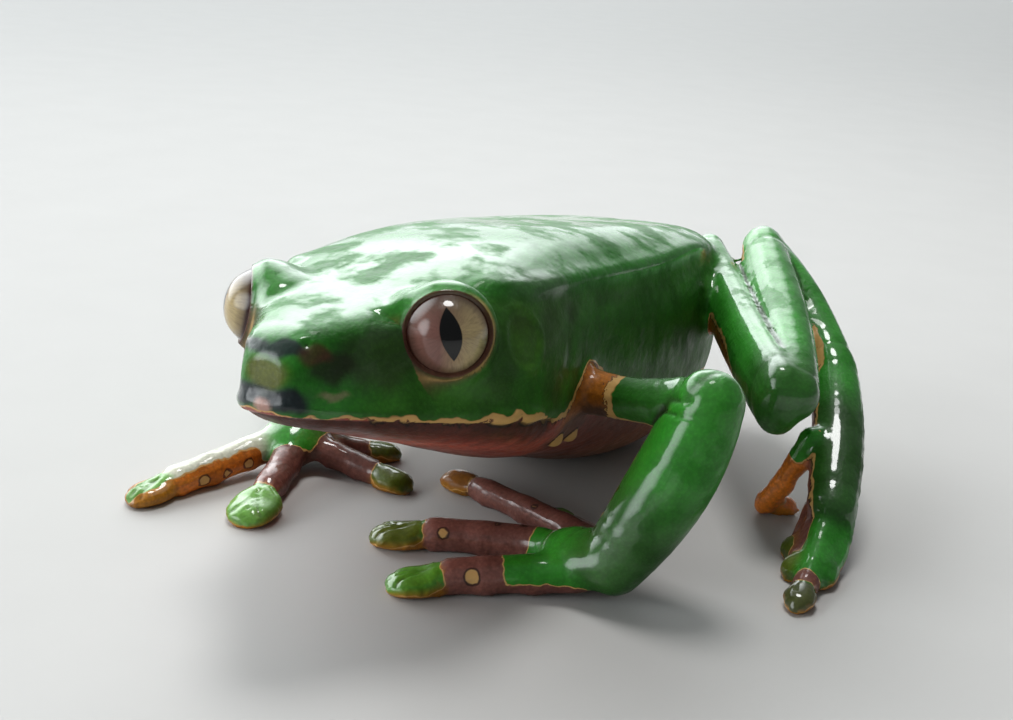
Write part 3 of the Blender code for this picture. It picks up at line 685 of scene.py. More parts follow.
# The edge between top and side of snout and back, a low ridge behind the eyes: distance from
# the snout, height.
SIDE_RIDGE = np.array(((2.0, 8.6), (10.0, 10.4), (19.0, 14.6), (24.5, 14.0), (37.0, 14.4),
                       (50.0, 15.1), (69.0, 16.7), (82.0, 18.4), (96.0, 18.6)))
NOSTRIL = (3.7, 1.8, 8.0)
EARDRUM = (25.5, 8.4)           # distance from the snout and height of its middle
EARDRUM_REACH = (3.1, 3.5)
# Upright folds of the flank: distance from the snout, depth.
FLANK_FOLDS = ((36.5, 0.25), (52.0, 0.12), (66.0, 0.15), (82.0, 0.12))


def body_relief(place):
    """How far the folds and swellings of head and trunk stand out, or lie deep if less than 0."""
    x, y, z = place.T
    across = np.abs(x - sway(y))
    beyond = z - mouth_height(y)
    mouth = smooth_step((MOUTH_END + 1.5 - y) / 3.0)
    relief = mouth * (0.30 * bump(beyond - 1.2, 0.9) - 0.55 * bump(beyond + 0.1, 0.30))
    jaw = smooth_step((-beyond - 0.1) / 0.5) * smooth_step((5.0 + beyond) / 4.0)
    relief = relief - mouth * jaw * (0.35 + 0.5 * smooth_step((5.0 - y) / 5.0))
    from_nostril = np.sqrt((across - NOSTRIL[0]) ** 2 + (y - NOSTRIL[1]) ** 2
                           + (z - NOSTRIL[2]) ** 2)
    relief = relief + 0.15 * bump(from_nostril - 0.8, 0.5) - 0.5 * bump(from_nostril, 0.32)
    ring = np.hypot((y - EARDRUM[0]) / EARDRUM_REACH[0], (z - EARDRUM[1]) / EARDRUM_REACH[1])
    sides = smooth_step((across - 11.0) / 2.0)
    relief = relief + sides * (0.24 * bump(ring - 1.06, 0.16)
                               - 0.12 * smooth_step((1.0 - ring) / 0.35))
    above = z - through(y, SIDE_RIDGE[:, 0], SIDE_RIDGE[:, 1])
    lengthwise = smooth_step((y - 20.0) / 4.0) * smooth_step((98.0 - y) / 14.0)
    relief = relief + sides * lengthwise * (0.75 * bump(above - 0.2, 1.2)
                                            - 0.15 * bump(above + 3.0, 1.9))
    throat = smooth_step((-z - 2.5) / 2.0) * smooth_step((46.0 - y) / 6.0)
    relief = relief + throat * 0.07 * np.sin(2.2 * y + 1.6 * np.sin(0.45 * x) + 0.6 * z)
    for fold, depth in FLANK_FOLDS:
        slanted = y - fold - 0.28 * (z - 5.0)
        relief = relief - depth * sides * bump(slanted, 1.8) * bump(z - 6.5, 5.0)
    return relief


KNUCKLES = (0.24, 0.50, 0.74)   # where a digit swells, as shares of its length
# Digits whose discs show forked veins clearly, how deep these lie there and elsewhere, and
# half their width.
VEINED = ("finger_3_left", "finger_4_left", "finger_3_right", "finger_4_right")
VEIN_DEPTH = 0.27
PLAIN_VEIN_DEPTH = 0.12
VEIN_WIDTH = 0.24


def limb_relief(limb, along, angle):
    """The same for a limb's length: creases by its joints, or a digit's knuckles, pads below
    and forked veins on its disc."""
    kind = limb.name.split("_")[0]
    length = limb.along[-1]
    relief = np.zeros(len(along))
    if kind == "forearm":
        inner = bump(angle - radians(92.0), radians(52.0))
        for crease, depth in ((0.6, 0.3), (2.4, 0.3), (length - 4.4, 0.12), (length - 1.8, 0.2)):
            relief -= depth * inner * bump(along - crease - 1.4 * np.cos(angle), 0.32)
    elif kind in ("upper", "hand"):
        relief -= 0.22 * bump(along - length + 1.6 + 0.6 * np.sin(angle), 0.45)
    elif kind in ("thigh", "shank", "tarsus", "foot"):
        for crease in (1.6, length - 2.2):
            relief -= 0.18 * bump(along - crease + 0.6 * np.sin(angle), 0.5)
    else:
        below = np.maximum(-np.sin(angle), 0.0)
        for knuckle in KNUCKLES:
            swell = bump(along - knuckle * length, 1.3)
            relief += swell * (0.12 + 0.25 * below)
        disc = limb.disc_start()
        relief -= 0.28 * bump(along - disc, 0.4)
        above = smooth_step(np.sin(angle) * 2.0)
        across = np.cos(angle) * np.interp(along, limb.along, limb.widths)
        forked = np.abs(across) - 0.55 * (along - disc - 1.4)
        vein = np.minimum(np.abs(across), np.abs(forked) + 4.0 * (along < disc + 1.4))
        depth = VEIN_DEPTH if limb.name in VEINED else PLAIN_VEIN_DEPTH
        relief -= depth * above * smooth_step((along - disc) / 0.8) * bump(vein, VEIN_WIDTH)
    return relief


def flank_spots():
    """The row of spots behind the arm: sizes and heights waver with their number."""
    count, first, step = FLANK_SPOTS
    spots = []
    for number in range(count):
        along = first + step * number
        edge = float(through(along, GREEN_EDGE[:, 0], GREEN_EDGE[:, 1]))
        size = 1.2 + 0.4 * cos(1.7 * number)
        spots.append(((18.0, along, edge - 2.4 - 0.9 * sin(2.4 * number)), (size, size, 0.9)))
    return spots


def body_coat(place):
    """Colours, edges, relief and wetness of head and trunk, in the body's frame."""
    x, y, z = place.T
    edge = through(y, GREEN_EDGE[:, 0], GREEN_EDGE[:, 1])
    across = np.abs(x - sway(y))
    cream = np.full(len(place), FAR_FROM_SPOTS)
    relief = body_relief(place)
    from_middle = np.stack([across, y, z], axis=1)
    for middle, reach in (*BODY_SPOTS, *flank_spots()):
        ring = np.linalg.norm((from_middle - middle) / reach, axis=1)
        cream = np.maximum(cream, (1.0 - ring) * min(reach))
        rise = WART_RISE if reach[0] == reach[1] > WART_SIZE else SPOT_RISE
        relief = relief + rise * min(reach) * smooth_step((1.15 - ring) / 0.7)
    below_ridge = through(y, SIDE_RIDGE[:, 0], SIDE_RIDGE[:, 1]) - z
    flank = (smooth_step((below_ridge - 0.3) / 1.6) * smooth_step((y - 3.0) / 5.0)
             * smooth_step((across - 4.0 - 0.3 * np.minimum(y, 16.0)) / 3.0))
    # painted shade: the green is blended towards its shaded copy on the sides below the ridge
    shaded = 0.55 * flank[:, None]
    leaf = painted(LEAF, place, HEAD_PATCHES) * (1.0 - shaded) + np.array(SHADED_FLANK_LEAF) * shaded
    wet = (1.0 - 0.9 * flank) * (1.0 - 0.75 * smooth_step((0.6 - z) / 1.5))
    return dict(green=0.92 * (z - edge), line=through(y, EDGE_LINE[:, 0], EDGE_LINE[:, 1]),
                cream=cream, relief=relief, wet=wet, leaf=leaf,
                ground=painted(THROAT, place, GROUND_PATCHES))


LIMB_WETNESS = 3.6              # the limbs are wetter all over than the back
UPPER_ARM_SLEEVE = 0.56         # share of the upper arm before its green starts
JOINT_GREEN = 9.0               # at elbow and knee the green goes this much further round
THIGH_GREEN = 7.0               # and this much at both ends of the thigh
# Painted shade along a length, where its green is darker: share where this starts, where it is
# full, how much.
PAINTED_SHADE_ALONG = {"upper_arm": (0.40, 0.60, 0.60), "forearm": (0.30, 0.80, 0.80),
          "hand": (0.90, 0.20, 0.80), "thigh": (0.78, 1.0, 0.70), "shank": (0.22, 0.0, 0.70),
          "foot": (0.10, 0.50, 0.88)}


def limb_coat(limb, along, angle):
    """Colours, edges and relief of a limb's length, from distance along and angle round it."""
    kind, side = limb.name.rsplit("_", 1)
    mirror = np.array((SIGN[side], 1.0, 1.0))
    count = len(along)
    girth = np.interp(along, limb.along, limb.widths)
    if kind in COATS:
        facing, half, line, ground = COATS[kind]
        facing = mirror * facing
        middle = len(limb.along) // 2
        at = np.arctan2(facing @ limb.up[middle], facing @ limb.across[middle])
        turn = np.abs((angle - at + pi) % (2.0 * pi) - pi)
        green = (radians(half) - turn) * girth
        first, full, strength = PAINTED_SHADE_ALONG.get(kind, (0.0, 1.0, 0.0))
        # painted shade: the limb's green darkens towards its shaded copy along part of its length
        dark = strength * smooth_step((along / limb.along[-1] - first) / (full - first))[:, None]
        # painted light: the limbs carry the lighter copy of the green
        leaf = np.array(LIT_LIMB_LEAF) * (1.0 - dark) + np.array(SHADE_LEAF) * dark
        if kind == "upper_arm":
            green = np.minimum(green, along - UPPER_ARM_SLEEVE * limb.along[-1])
            # painted shade: the brown below the green is amber on the upper side and darker umber
            # underneath
            upper = smooth_step(1.6 * np.cos(turn))[:, None]
            ground = np.array(ground) * upper + np.array(UMBER) * (1.0 - upper)
        elif kind in ("forearm", "shank"):
            green = green + JOINT_GREEN * smooth_step(1.4 - 4.0 * along / limb.along[-1])
        elif kind == "thigh":
            share = along / limb.along[-1]
            ends = smooth_step(3.2 * share - 1.9) + smooth_step(1.0 - 4.0 * share)
            green = green + THIGH_GREEN * ends
    else:
        sleeve, ground, leaf = DIGIT_COATS.get(limb.name) or DIGIT_COATS[kind]
        disc = limb.disc_start()
        turn = np.abs(angle - pi / 2)
        turn = np.minimum(turn, 2.0 * pi - turn)
        sector = (radians(TOP_SPREADS.get(limb.name, TOP_SPREAD)) - turn) * girth
        green = np.minimum(sector, np.maximum(sleeve - along, along - disc))
        in_disc = smooth_step((along - disc + 0.3) / 0.6)[:, None]
        # painted light: a green digit's stem takes the limbs' lighter copy of the green
        stem_leaf = MILK if limb.name == "finger_4_right" else LIT_LIMB_LEAF if sleeve else leaf
        leaf = np.array(leaf) * in_disc + np.array(stem_leaf) * (1.0 - in_disc)
        rim = 0.8 * in_disc * smooth_step((turn - radians(RIM_START)) / 0.5)[:, None]
        leaf = leaf * (1.0 - rim) + np.array(HONEY) * rim
        ground = np.array(HONEY) * in_disc + np.array(ground) * (1.0 - in_disc)
        line = DIGIT_LINE
    cream = np.full(count, FAR_FROM_SPOTS)
    for place, degrees, size in DIGIT_SPOTS.get(limb.name, ()):
        around = np.abs((angle - radians(degrees) + pi) % (2.0 * pi) - pi) * girth
        cream = np.maximum(cream, size - np.hypot(along - place, around))
    return dict(green=green, line=np.full(count, line), cream=cream,
                wet=LIMB_WETNESS * (0.12 + 0.88 * smooth_step((np.sin(angle) - 0.15) / 0.5)),
                relief=limb_relief(limb, along, angle), leaf=leaf,
                ground=np.broadcast_to(ground, (count, 3)))


# Lengths of a limb that lie against each other, the joint between them, and how far from it
# the fold starts and is full.
FOLDED = (("thigh", "shank", "knee", 6.0, 10.0), ("shank", "tarsus", "heel", 6.0, 10.0),
          ("upper_arm", "forearm", "elbow", 3.6, 6.0))
FOLD_DEPTH = 0.45
BLEND_REACH = 0.45              # a piece's share falls to a third over this gap


def fold_share(points, limbs):
    """1 in the fold between two lengths of a limb, 0 away from it: where both are close and
    equally far."""
    by_name = {limb.name: limb for limb in limbs}
    share = np.zeros(len(points))
    for side in SIGN:
        joints = LEGS[side] | ARMS[side]
        for first, second, joint, start, full in FOLDED:
            gaps = [by_name[f"{kind}_{side}"].place(points)[2] for kind in (first, second)]
            far = np.linalg.norm(points - joints[joint], axis=1)
            close = smooth_step((2.0 - gaps[0]) / 1.5) * smooth_step((far - start) / (full - start))
            share = np.maximum(share, close * bump(gaps[0] - gaps[1], 0.55))
    return share


def blended_coats(points, limbs):
    """For each point, the blend of its pieces' coats, each weighted by its nearness."""
    place = world_to_body(points)
    weight = nearness(body_gap(place))
    total = weight.copy()
    sums = {key: columns(weight, value) * value for key, value in body_coat(place).items()}
    for limb in limbs:
        reach = max(limb.widths.max(), limb.heights.max()) + 2.5
        low, high = limb.centres.min(0) - reach, limb.centres.max(0) + reach
        near = np.flatnonzero(np.all((points > low) & (points < high), axis=1))
        along, angle, gap = limb.place(points[near])
        weight = nearness(gap)
        total[near] += weight
        for key, value in limb_coat(limb, along, angle).items():
            sums[key][near] += columns(weight, value) * value
    coat = {key: value / columns(total, value) for key, value in sums.items()}
    fold = fold_share(points, limbs)
    coat["relief"] -= FOLD_DEPTH * fold
    coat["wet"] *= 1.0 - 0.9 * fold
    return coat


def nearness(gap):
    """Weight of a piece at a point: falls off as the exponential of the gap between them."""
    return np.exp(-np.clip(gap, -1.0, 12.0) / BLEND_REACH)


def columns(weight, value):
    """weight shaped so that it multiplies the rows of value."""
    return weight.reshape((-1,) + (1,) * (value.ndim - 1))


def paint_lids(points, leaf):
    """Reddish and cream-brown rims on the green round each eye."""
    for side in SIGN:
        distance, _, level, upright, ring = lid_place(points, side)
        ring = np.where(distance < ORBIT_RADIUS + 2.5, ring, 9.0)
        low = smooth_step((0.45 - upright) / 0.6)
        rear = smooth_step((SIGN[side] * level - 0.3) / 0.5)
        for tint, weight in ((UMBER, 0.7 * low * smooth_step((1.24 - ring) / 0.12)),
                             (CREAM, 0.45 * low * bump(ring - 1.10, 0.035)),
                             (CREAM, 0.60 * rear * bump(ring - 1.05, 0.05)),
                             (RUST, 0.9 * smooth_step((1.02 - ring) / 0.03))):
            leaf = leaf * (1.0 - weight[:, None]) + np.array(tint) * weight[:, None]
    return leaf


def write_layer(mesh, name, value):
    """Writes one value or one colour for each point as an attribute of the mesh."""
    if value.ndim == 2:
        layer = mesh.attributes.new(name, "FLOAT_COLOR", "POINT")
        value = np.concatenate([value, np.ones((len(value), 1))], axis=1)
        layer.data.foreach_set("color", value.astype(np.float32).ravel())
    else:
        layer = mesh.attributes.new(name, "FLOAT", "POINT")
        layer.data.foreach_set("value", value.astype(np.float32))


# ---- The skin ---------------------------------------------------------------------------
VOXEL = 0.76                    # side of the skin's faces, halved in the places below
HEAD_END = 37.0                 # in front of this station
ELBOW_REACH = 8.0               # this close to an elbow
ARMPIT = (15.8, 44.4)           # in the armpits: to either side, from the snout,
ARMPIT_REACH = 6.0              # this close to there
ARMPIT_LEVELS = (-7.6, -4.0)    # and between these heights in the body's frame
EYE_REACH = 7.6                 # halved once more this close to the middle of an eye
FLESH = (["head", "lower_jaw", "trunk"]
         + [f"{kind}_{side}" for side in SIGN
            for kind in ("upper_arm", "forearm", "hand", "thigh", "shank", "tarsus", "foot")]
         + [f"finger_{n}_{side}" for side in SIGN for n in range(1, 5)]
         + [f"toe_{n}_{side}" for side in SIGN for n in range(1, 6)])


def brow_surface(side):
    """A swelling that carries the head's top out to the upper lid."""
    centre = body_to_world((SIGN[side] * BROW_CENTRE[0] + sway(BROW_CENTRE[1]), *BROW_CENTRE[1:]))
    return centre + ball_surface((0.0, 0.0, 0.0), 1.0) * BROW_REACH


def gap_to_nearest(points, centres):
    """Distance from each point to the nearest of the centres."""
    return np.min([np.linalg.norm(points - centre, axis=1) for centre in centres], axis=0)


def wants_fine_faces(points, limbs):
    """Head, elbows, armpits, veined discs and the limbs' folds need smaller faces."""
    place = world_to_body(points)
    head = (place[:, 1] < HEAD_END) & (body_gap(place) < 1.6)
    elbow = gap_to_nearest(points, [arm["elbow"] for arm in ARMS.values()]) < ELBOW_REACH
    from_armpit = np.hypot(np.abs(place[:, 0]) - ARMPIT[0], np.abs(place[:, 1]) - ARMPIT[1])
    armpit = ((from_armpit < ARMPIT_REACH) & (place[:, 2] > ARMPIT_LEVELS[0])
              & (place[:, 2] < ARMPIT_LEVELS[1]))
    from_discs = [limb.from_disc(points) for limb in limbs if limb.name in VEINED]
    disc = np.min(from_discs, axis=0) < 0.0
    return head | elbow | armpit | disc | (fold_share(points, limbs) > 0.15)


def build_skin_mesh(limbs, voxel):
    """The flesh's surfaces made one even skin, smoothed, refined where it is detailed, then
    coloured, raised and sunk by its relief, and opened at the eyes."""
    eyes = [eye_frame(side)[0] for side in SIGN]
    surfaces = [body_surface()] + [limb.surface() for limb in limbs]
    surfaces += [ball_surface(centre, ORBIT_RADIUS) for centre in eyes]
    surfaces += [brow_surface(side) for side in SIGN]
    mesh = remeshed(surfaces, voxel)
    points = relax(get_points(mesh), get_edges(mesh), 6)
    set_points(mesh, points)
    refine(mesh, wants_fine_faces(points, limbs))
    points = relax(get_points(mesh), get_edges(mesh), 3)
    set_points(mesh, points)
    refine(mesh, gap_to_nearest(points, eyes) < EYE_REACH)
    points = get_points(mesh)
    near_eye = smooth_step((9.5 - gap_to_nearest(points, eyes)) / 3.0)
    edges = get_edges(mesh)
    points = relax(points, edges, 3)
    points = relax(points, edges, 24, share=near_eye, back=0.0)
    set_points(mesh, points)
    coat = blended_coats(points, limbs)
    coat["leaf"] = paint_lids(points, coat["leaf"])
    points = points + coat["relief"][:, None] * get_normals(mesh)
    for side in SIGN:
        points = open_lids(points, side)
    points[:, 2] = np.maximum(points[:, 2], 0.0)
    set_points(mesh, points)
    for name, value in coat.items():
        write_layer(mesh, name, value)
    return mesh


# ---- Materials --------------------------------------------------------------------------
PUPIL_LEAN = 0.16               # sideways shift of the pupil for each millimetre downwards
IRIS_VEINS = (0.07, 0.045, 0.035)
IRIS_TOP = (0.05, 0.036, 0.026) # in the upper lid's shade
IRIS_EDGE = (0.06, 0.03, 0.022)
EYE_RING = (0.035, 0.008, 0.005)
PUPIL = (0.002, 0.002, 0.002)


class Nodes:
    """A material's node tree, with short calls for the nodes used here."""

    def __init__(self, name):
        self.material = bpy.data.materials.new(name)
        self.material.use_nodes = True
        self.tree = self.material.node_tree
        self.shader = self.tree.nodes["Principled BSDF"]

    def put(self, socket, value):
        if isinstance(value, bpy.types.NodeSocket):
            self.tree.links.new(value, socket)
        else:
            socket.default_value = value

    def node(self, kind, **settings):
        made = self.tree.nodes.new(kind)
        for key, value in settings.items():
            setattr(made, key, value)
        return made

    def attribute(self, name, output="Fac"):
        return self.node("ShaderNodeAttribute", attribute_name=name).outputs[output]

    def math(self, operation, *values):
        made = self.node("ShaderNodeMath", operation=operation)
        for socket, value in zip(made.inputs, values):
            self.put(socket, value)
        return made.outputs[0]

    def ramp(self, value, low, high, to_low=0.0, to_high=1.0):
        """value carried from low..high to to_low..to_high, and clamped there."""
        made = self.node("ShaderNodeMapRange")
        for socket, number in zip(made.inputs, (value, low, high, to_low, to_high)):
            self.put(socket, number)
        return made.outputs[0]

    def mix(self, share, first, second, blend="MIX"):
        made = self.node("ShaderNodeMix", data_type="RGBA", blend_type=blend)
        self.put(made.inputs["Factor"], share)
        colours = [socket for socket in made.inputs if socket.type == "RGBA"]
        self.put(colours[0], first)
        self.put(colours[1], second)
        return next(socket for socket in made.outputs if socket.type == "RGBA")

    def millimetres(self, stretch=(1.0, 1.0, 1.0)):
        """Object coordinates in millimetres."""
        source = self.node("ShaderNodeTexCoord").outputs["Object"]
        mapping = self.node("ShaderNodeMapping")
        self.put(mapping.inputs["Vector"], source)
        mapping.inputs["Scale"].default_value = tuple(k / MM for k in stretch)
        return mapping.outputs[0]

    def noise(self, vector, scale, detail=2.0, roughness=0.5):
        made = self.node("ShaderNodeTexNoise")
        self.put(made.inputs["Vector"], vector)
        made.inputs["Scale"].default_value = scale
        made.inputs["Detail"].default_value = detail
        made.inputs["Roughness"].default_value = roughness
        return made.outputs["Fac"]

    def cells(self, vector, scale):
        """Distance to the nearest of scattered points: round granules."""
        made = self.node("ShaderNodeTexVoronoi", feature="SMOOTH_F1")
        self.put(made.inputs["Vector"], vector)
        made.inputs["Scale"].default_value = scale
        return made.outputs["Distance"]

    def bump(self, height, distance, strength=1.0):
        made = self.node("ShaderNodeBump")
        made.inputs["Strength"].default_value = strength
        made.inputs["Distance"].default_value = distance * MM
        self.put(made.inputs["Height"], height)
        self.put(self.shader.inputs["Normal"], made.outputs[0])


def rgba(colour):
    return (*colour, 1.0)


def skin_material(settings):
    """Green above a wavering edge with a cream line, brown below, cream spots with dark rims,
    fine granules, and a wet gloss."""
    n = Nodes("moist_skin")
    where = n.millimetres()
    broad = n.noise(where, 0.16, 3.0)
    waver = n.noise(where, 0.50, 1.0)
    fine = n.noise(where, 1.6, 3.0, 0.6)
    grains = n.cells(where, 2.4)
    edge = n.math("ADD", n.attribute("green"), n.ramp(waver, 0.25, 0.75, -0.40, 0.40))
    green = n.ramp(edge, -0.08, 0.06)
    light = n.ramp(broad, 0.3, 0.7, 0.70, 1.30)
    speckle = n.ramp(grains, 0.1, 0.6, 1.10, 0.86)
    shade = n.math("MULTIPLY", light, speckle)
    grey = n.node("ShaderNodeCombineColor")
    for socket in grey.inputs:
        n.put(socket, shade)
    leaf = n.mix(1.0, n.attribute("leaf", "Color"), grey.outputs[0], "MULTIPLY")
    marbled = n.mix(n.ramp(fine, 0.35, 0.7, 0.0, 0.38), n.attribute("ground", "Color"),
                    rgba(MARBLING))
    ground = n.mix(1.0, marbled, grey.outputs[0], "MULTIPLY")
    colour = n.mix(green, ground, leaf)
    bare = n.ramp(edge, 0.06, -0.08)
    width = n.math("MULTIPLY", n.attribute("line"), n.ramp(fine, 0.3, 0.7, 0.35, 1.15))
    beyond = n.math("ADD", edge, width)
    spot = n.math("ADD", n.attribute("cream"), n.ramp(waver, 0.3, 0.7, -0.12, 0.12))
    cream = n.ramp(n.math("MAXIMUM", beyond, spot), -0.07, 0.07)
    colour = n.mix(n.math("MULTIPLY", cream, bare), colour, rgba(CREAM))
    lined = n.math("ADD", beyond, n.ramp(n.attribute("line"), 0.2, 0.5, -3.0, 0.0))
    rim = n.math("ABSOLUTE", n.math("ADD", n.math("MAXIMUM", lined, spot), 0.13))
    rims = n.math("MULTIPLY", n.ramp(rim, 0.20, 0.07), bare)
    colour = n.mix(n.math("MULTIPLY", rims, 0.8), colour, rgba(SPOT_RIM))
    folds = n.ramp(n.attribute("relief"), -0.10, -0.36, 0.0, 0.8)
    colour = n.mix(folds, colour, rgba(FOLD_SHADE))
    n.put(n.shader.inputs["Base Color"], colour)
    n.put(n.shader.inputs["Roughness"], n.ramp(waver, 0.3, 0.7, 0.44, 0.58))
    n.shader.inputs["Specular IOR Level"].default_value = 0.22
    film = n.noise(where, 0.16, 4.0, 0.55)
    wet = n.ramp(film, 0.43, 0.53, 0.12 * settings.wetness, settings.wetness)
    wet = n.math("MINIMUM", n.math("MULTIPLY", n.attribute("wet"), wet), 1.0)
    n.put(n.shader.inputs["Coat Weight"], wet)
    n.shader.inputs["Coat Roughness"].default_value = 0.09
    wrinkles = n.noise(n.millimetres((1.0, 0.75, 1.0)), 0.9, 3.0, 0.6)
    uneven = n.math("MULTIPLY", n.noise(where, 0.22, 2.0),
                    n.ramp(n.attribute("wet"), 1.0, LIMB_WETNESS, 5.0, 2.0))
    height = n.math("ADD", n.math("MULTIPLY", grains, -0.25), n.math("ADD", wrinkles, uneven))
    n.bump(height, settings.granules / MM)
    return n.material


def eye_material(settings):
    """A silvery iris, darker and pinker towards the animal's right, which is painted shade, and
    paler towards its left, which is painted light, with a dark rim and a slightly leaning
    upright pupil, whose edges are two parabolas."""
    n = Nodes("wet_eye")
    split = n.node("ShaderNodeSeparateXYZ")
    n.put(split.inputs[0], n.attribute("gaze", "Vector"))
    p, q, _ = split.outputs
    lean = n.math("ADD", p, n.math("MULTIPLY", q, PUPIL_LEAN))
    tall = n.math("DIVIDE", q, settings.pupil_height / 2.0 / MM)
    half = n.math("MULTIPLY", n.math("SUBTRACT", 1.0, n.math("MULTIPLY", tall, tall)),
                  settings.pupil_width / 2.0 / MM)
    inside = n.math("SUBTRACT", half, n.math("ABSOLUTE", lean))
    pupil = n.ramp(inside, -0.06, 0.06)
    around = n.math("ARCTAN2", q, p)
    out = n.math("SQRT", n.math("ADD", n.math("MULTIPLY", p, p), n.math("MULTIPLY", q, q)))
    polar = n.node("ShaderNodeCombineXYZ")
    n.put(polar.inputs[0], n.math("MULTIPLY", around, 7.0))
    n.put(polar.inputs[1], n.math("MULTIPLY", out, 0.55))
    veins = n.noise(polar.outputs[0], 1.6, 5.0, 0.65)
    # painted shade and light: the iris darkens and turns pinker towards the animal's right and
    # pales towards its left
    colour = n.mix(n.ramp(p, -1.2, 2.0), rgba(settings.right), rgba(settings.left))
    colour = n.mix(n.ramp(veins, 0.45, 0.70, 0.0, 0.38), colour, rgba(IRIS_VEINS))
    colour = n.mix(n.ramp(q, 0.6, 3.6, 0.0, 0.8), colour, rgba(IRIS_TOP))
    colour = n.mix(n.ramp(out, 3.5, 4.15, 0.0, 0.6), colour, rgba(IRIS_EDGE))
    colour = n.mix(n.ramp(out, 4.15, 4.4), colour, rgba(EYE_RING))
    colour = n.mix(pupil, colour, rgba(PUPIL))
    n.put(n.shader.inputs["Base Color"], colour)
    n.shader.inputs["Roughness"].default_value = 0.22
    n.shader.inputs["Specular IOR Level"].default_value = 0.1
    n.shader.inputs["Coat Weight"].default_value = 0.8
    n.shader.inputs["Coat Roughness"].default_value = 0.02
    n.bump(n.math("MULTIPLY", veins, n.math("SUBTRACT", 1.0, pupil)), 0.05)
    return n.material


def floor_material(colour):
    """Pale and matt, in patches a little darker."""
    n = Nodes("pale_floor")
    grain = n.noise(n.millimetres(), 0.05, 4.0)
    n.put(n.shader.inputs["Base Color"],
          n.mix(n.ramp(grain, 0.3, 0.7), rgba([0.97 * k for k in colour]), rgba(colour)))
    n.shader.inputs["Roughness"].default_value = 0.7
    return n.material


# ---- Pieces -----------------------------------------------------------------------------
def piece(name, mesh, material, node_names):
    """Makes a mesh a piece of the one body that stands for CAD nodes."""
    mesh.shade_smooth()
    mesh.materials.clear()
    mesh.materials.append(material)
    made = bpy.data.objects.new(name, mesh)
    bpy.context.scene.collection.objects.link(made)
    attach(made, "root")
    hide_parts(*node_names)


CORNEA_REACH = 0.95             # the clear front spans this angle from the line of sight
CORNEA_RISE = 0.18


def build_eye_mesh(side, rows=64, sides=80):
    """An eyeball as a grid round the line of sight: polar angle down its rows, the front
    standing out a little as a cornea. Each point keeps its place across, up and outwards."""
    polar = np.linspace(pi - 0.01, 0.01, rows)[:, None]
    turn = np.arange(sides) * 2.0 * pi / sides
    radius = EYE_RADIUS + CORNEA_RISE * smooth_step((CORNEA_REACH - polar) / 0.5)
    local = np.stack([np.sin(polar) * np.cos(turn), np.sin(polar) * np.sin(turn),
                      np.cos(polar) + 0.0 * turn], axis=-1) * radius[..., None]
    local = local.reshape(-1, 3)
    centre, right, up, outward = eye_frame(side)
    mesh = mesh_of(f"eyeball_{side}", centre + local @ np.stack([right, up, outward]),
                   ring_faces(rows, sides))
    layer = mesh.attributes.new("gaze", "FLOAT_VECTOR", "POINT")
    layer.data.foreach_set("vector", local.astype(np.float32).ravel())
    return mesh


def build_floor_mesh(radius, rings=24, sides=64):
    """A flat round floor: rings that grow as the square of their number, round the origin."""
    reach = radius * (np.linspace(0.02, 1.0, rings) ** 2)[:, None]
    turn = np.arange(sides) * 2.0 * pi / sides
    points = np.stack([reach * np.cos(turn), reach * np.sin(turn), 0.0 * reach * turn], axis=-1)
    mesh = bpy.data.meshes.new("floor")
    mesh.from_pydata(points.reshape(-1, 3), [], ring_faces(rings, sides)[:-1])
    mesh.validate()
    mesh.flip_normals()
    return mesh


# ---- Stage ------------------------------------------------------------------------------
SKY_COLOUR = (0.93, 0.98, 1.0)
SKY_BASE = 0.15                 # brightness all round
# Soft bright parts of the studio's walls: direction from the floor's middle, angles from it
# to where the brightness starts to fall and where it ends, brightness.
SKY_PANELS = (
    ((-0.42, 0.72, 0.55), 6.0, 25.0, 3.7),
    ((-0.45, 0.85, 0.20), 8.0, 36.0, 1.4),
    ((-0.88, 0.18, 0.42), 12.0, 38.0, 5.0),
    ((-0.60, -0.74, 0.30), 7.0, 25.0, 5.0),
)
LAMP_PLACE = (-0.05, 0.10, 0.60)
LAMP_SIZE = 0.20
LAMP_WATTS = 1.8
TARGET = (8.7, 40.0, 25.4)      # the camera looks at this point
CAMERA_AZIMUTH = radians(26.2)
CAMERA_ELEVATION = radians(19.0)
CAMERA_ROLL = radians(3.7)


def add_camera(distance, lens):
    """A camera at a bearing and height round the target, tilted by its roll."""
    a, e, roll = CAMERA_AZIMUTH, CAMERA_ELEVATION, CAMERA_ROLL
    back = np.array((sin(a) * cos(e), -cos(a) * cos(e), sin(e)))
    level = np.array((cos(a), sin(a), 0.0))
    rise = np.cross(back, level)
    right = cos(roll) * level + sin(roll) * rise
    up = -sin(roll) * level + cos(roll) * rise
    place = (np.array(TARGET) - (*CENTRE, 0.0)) * MM + distance * back
    camera = bpy.data.objects.new("camera", bpy.data.cameras.new("camera"))
    camera.data.lens = lens
    camera.data.sensor_width = 36.0
    camera.data.clip_start = 0.001
    camera.matrix_world = Matrix([(*row,) for row in np.column_stack([right, up, back, place])]
                                 + [(0.0, 0.0, 0.0, 1.0)])
    bpy.context.scene.collection.objects.link(camera)
    bpy.context.scene.camera = camera


def add_lamp(watts):
    """A round soft lamp overhead that faces the middle of the animal."""
    lamp = bpy.data.lights.new("overhead", "AREA")
    lamp.shape, lamp.size, lamp.energy = "DISK", LAMP_SIZE, watts
    made = bpy.data.objects.new("overhead", lamp)
    made.location = LAMP_PLACE
    facing = Vector(LAMP_PLACE) - Vector((0.0, 0.0, 0.02))
    made.rotation_euler = facing.to_track_quat("Z", "Y").to_euler()
    bpy.context.scene.collection.objects.link(made)


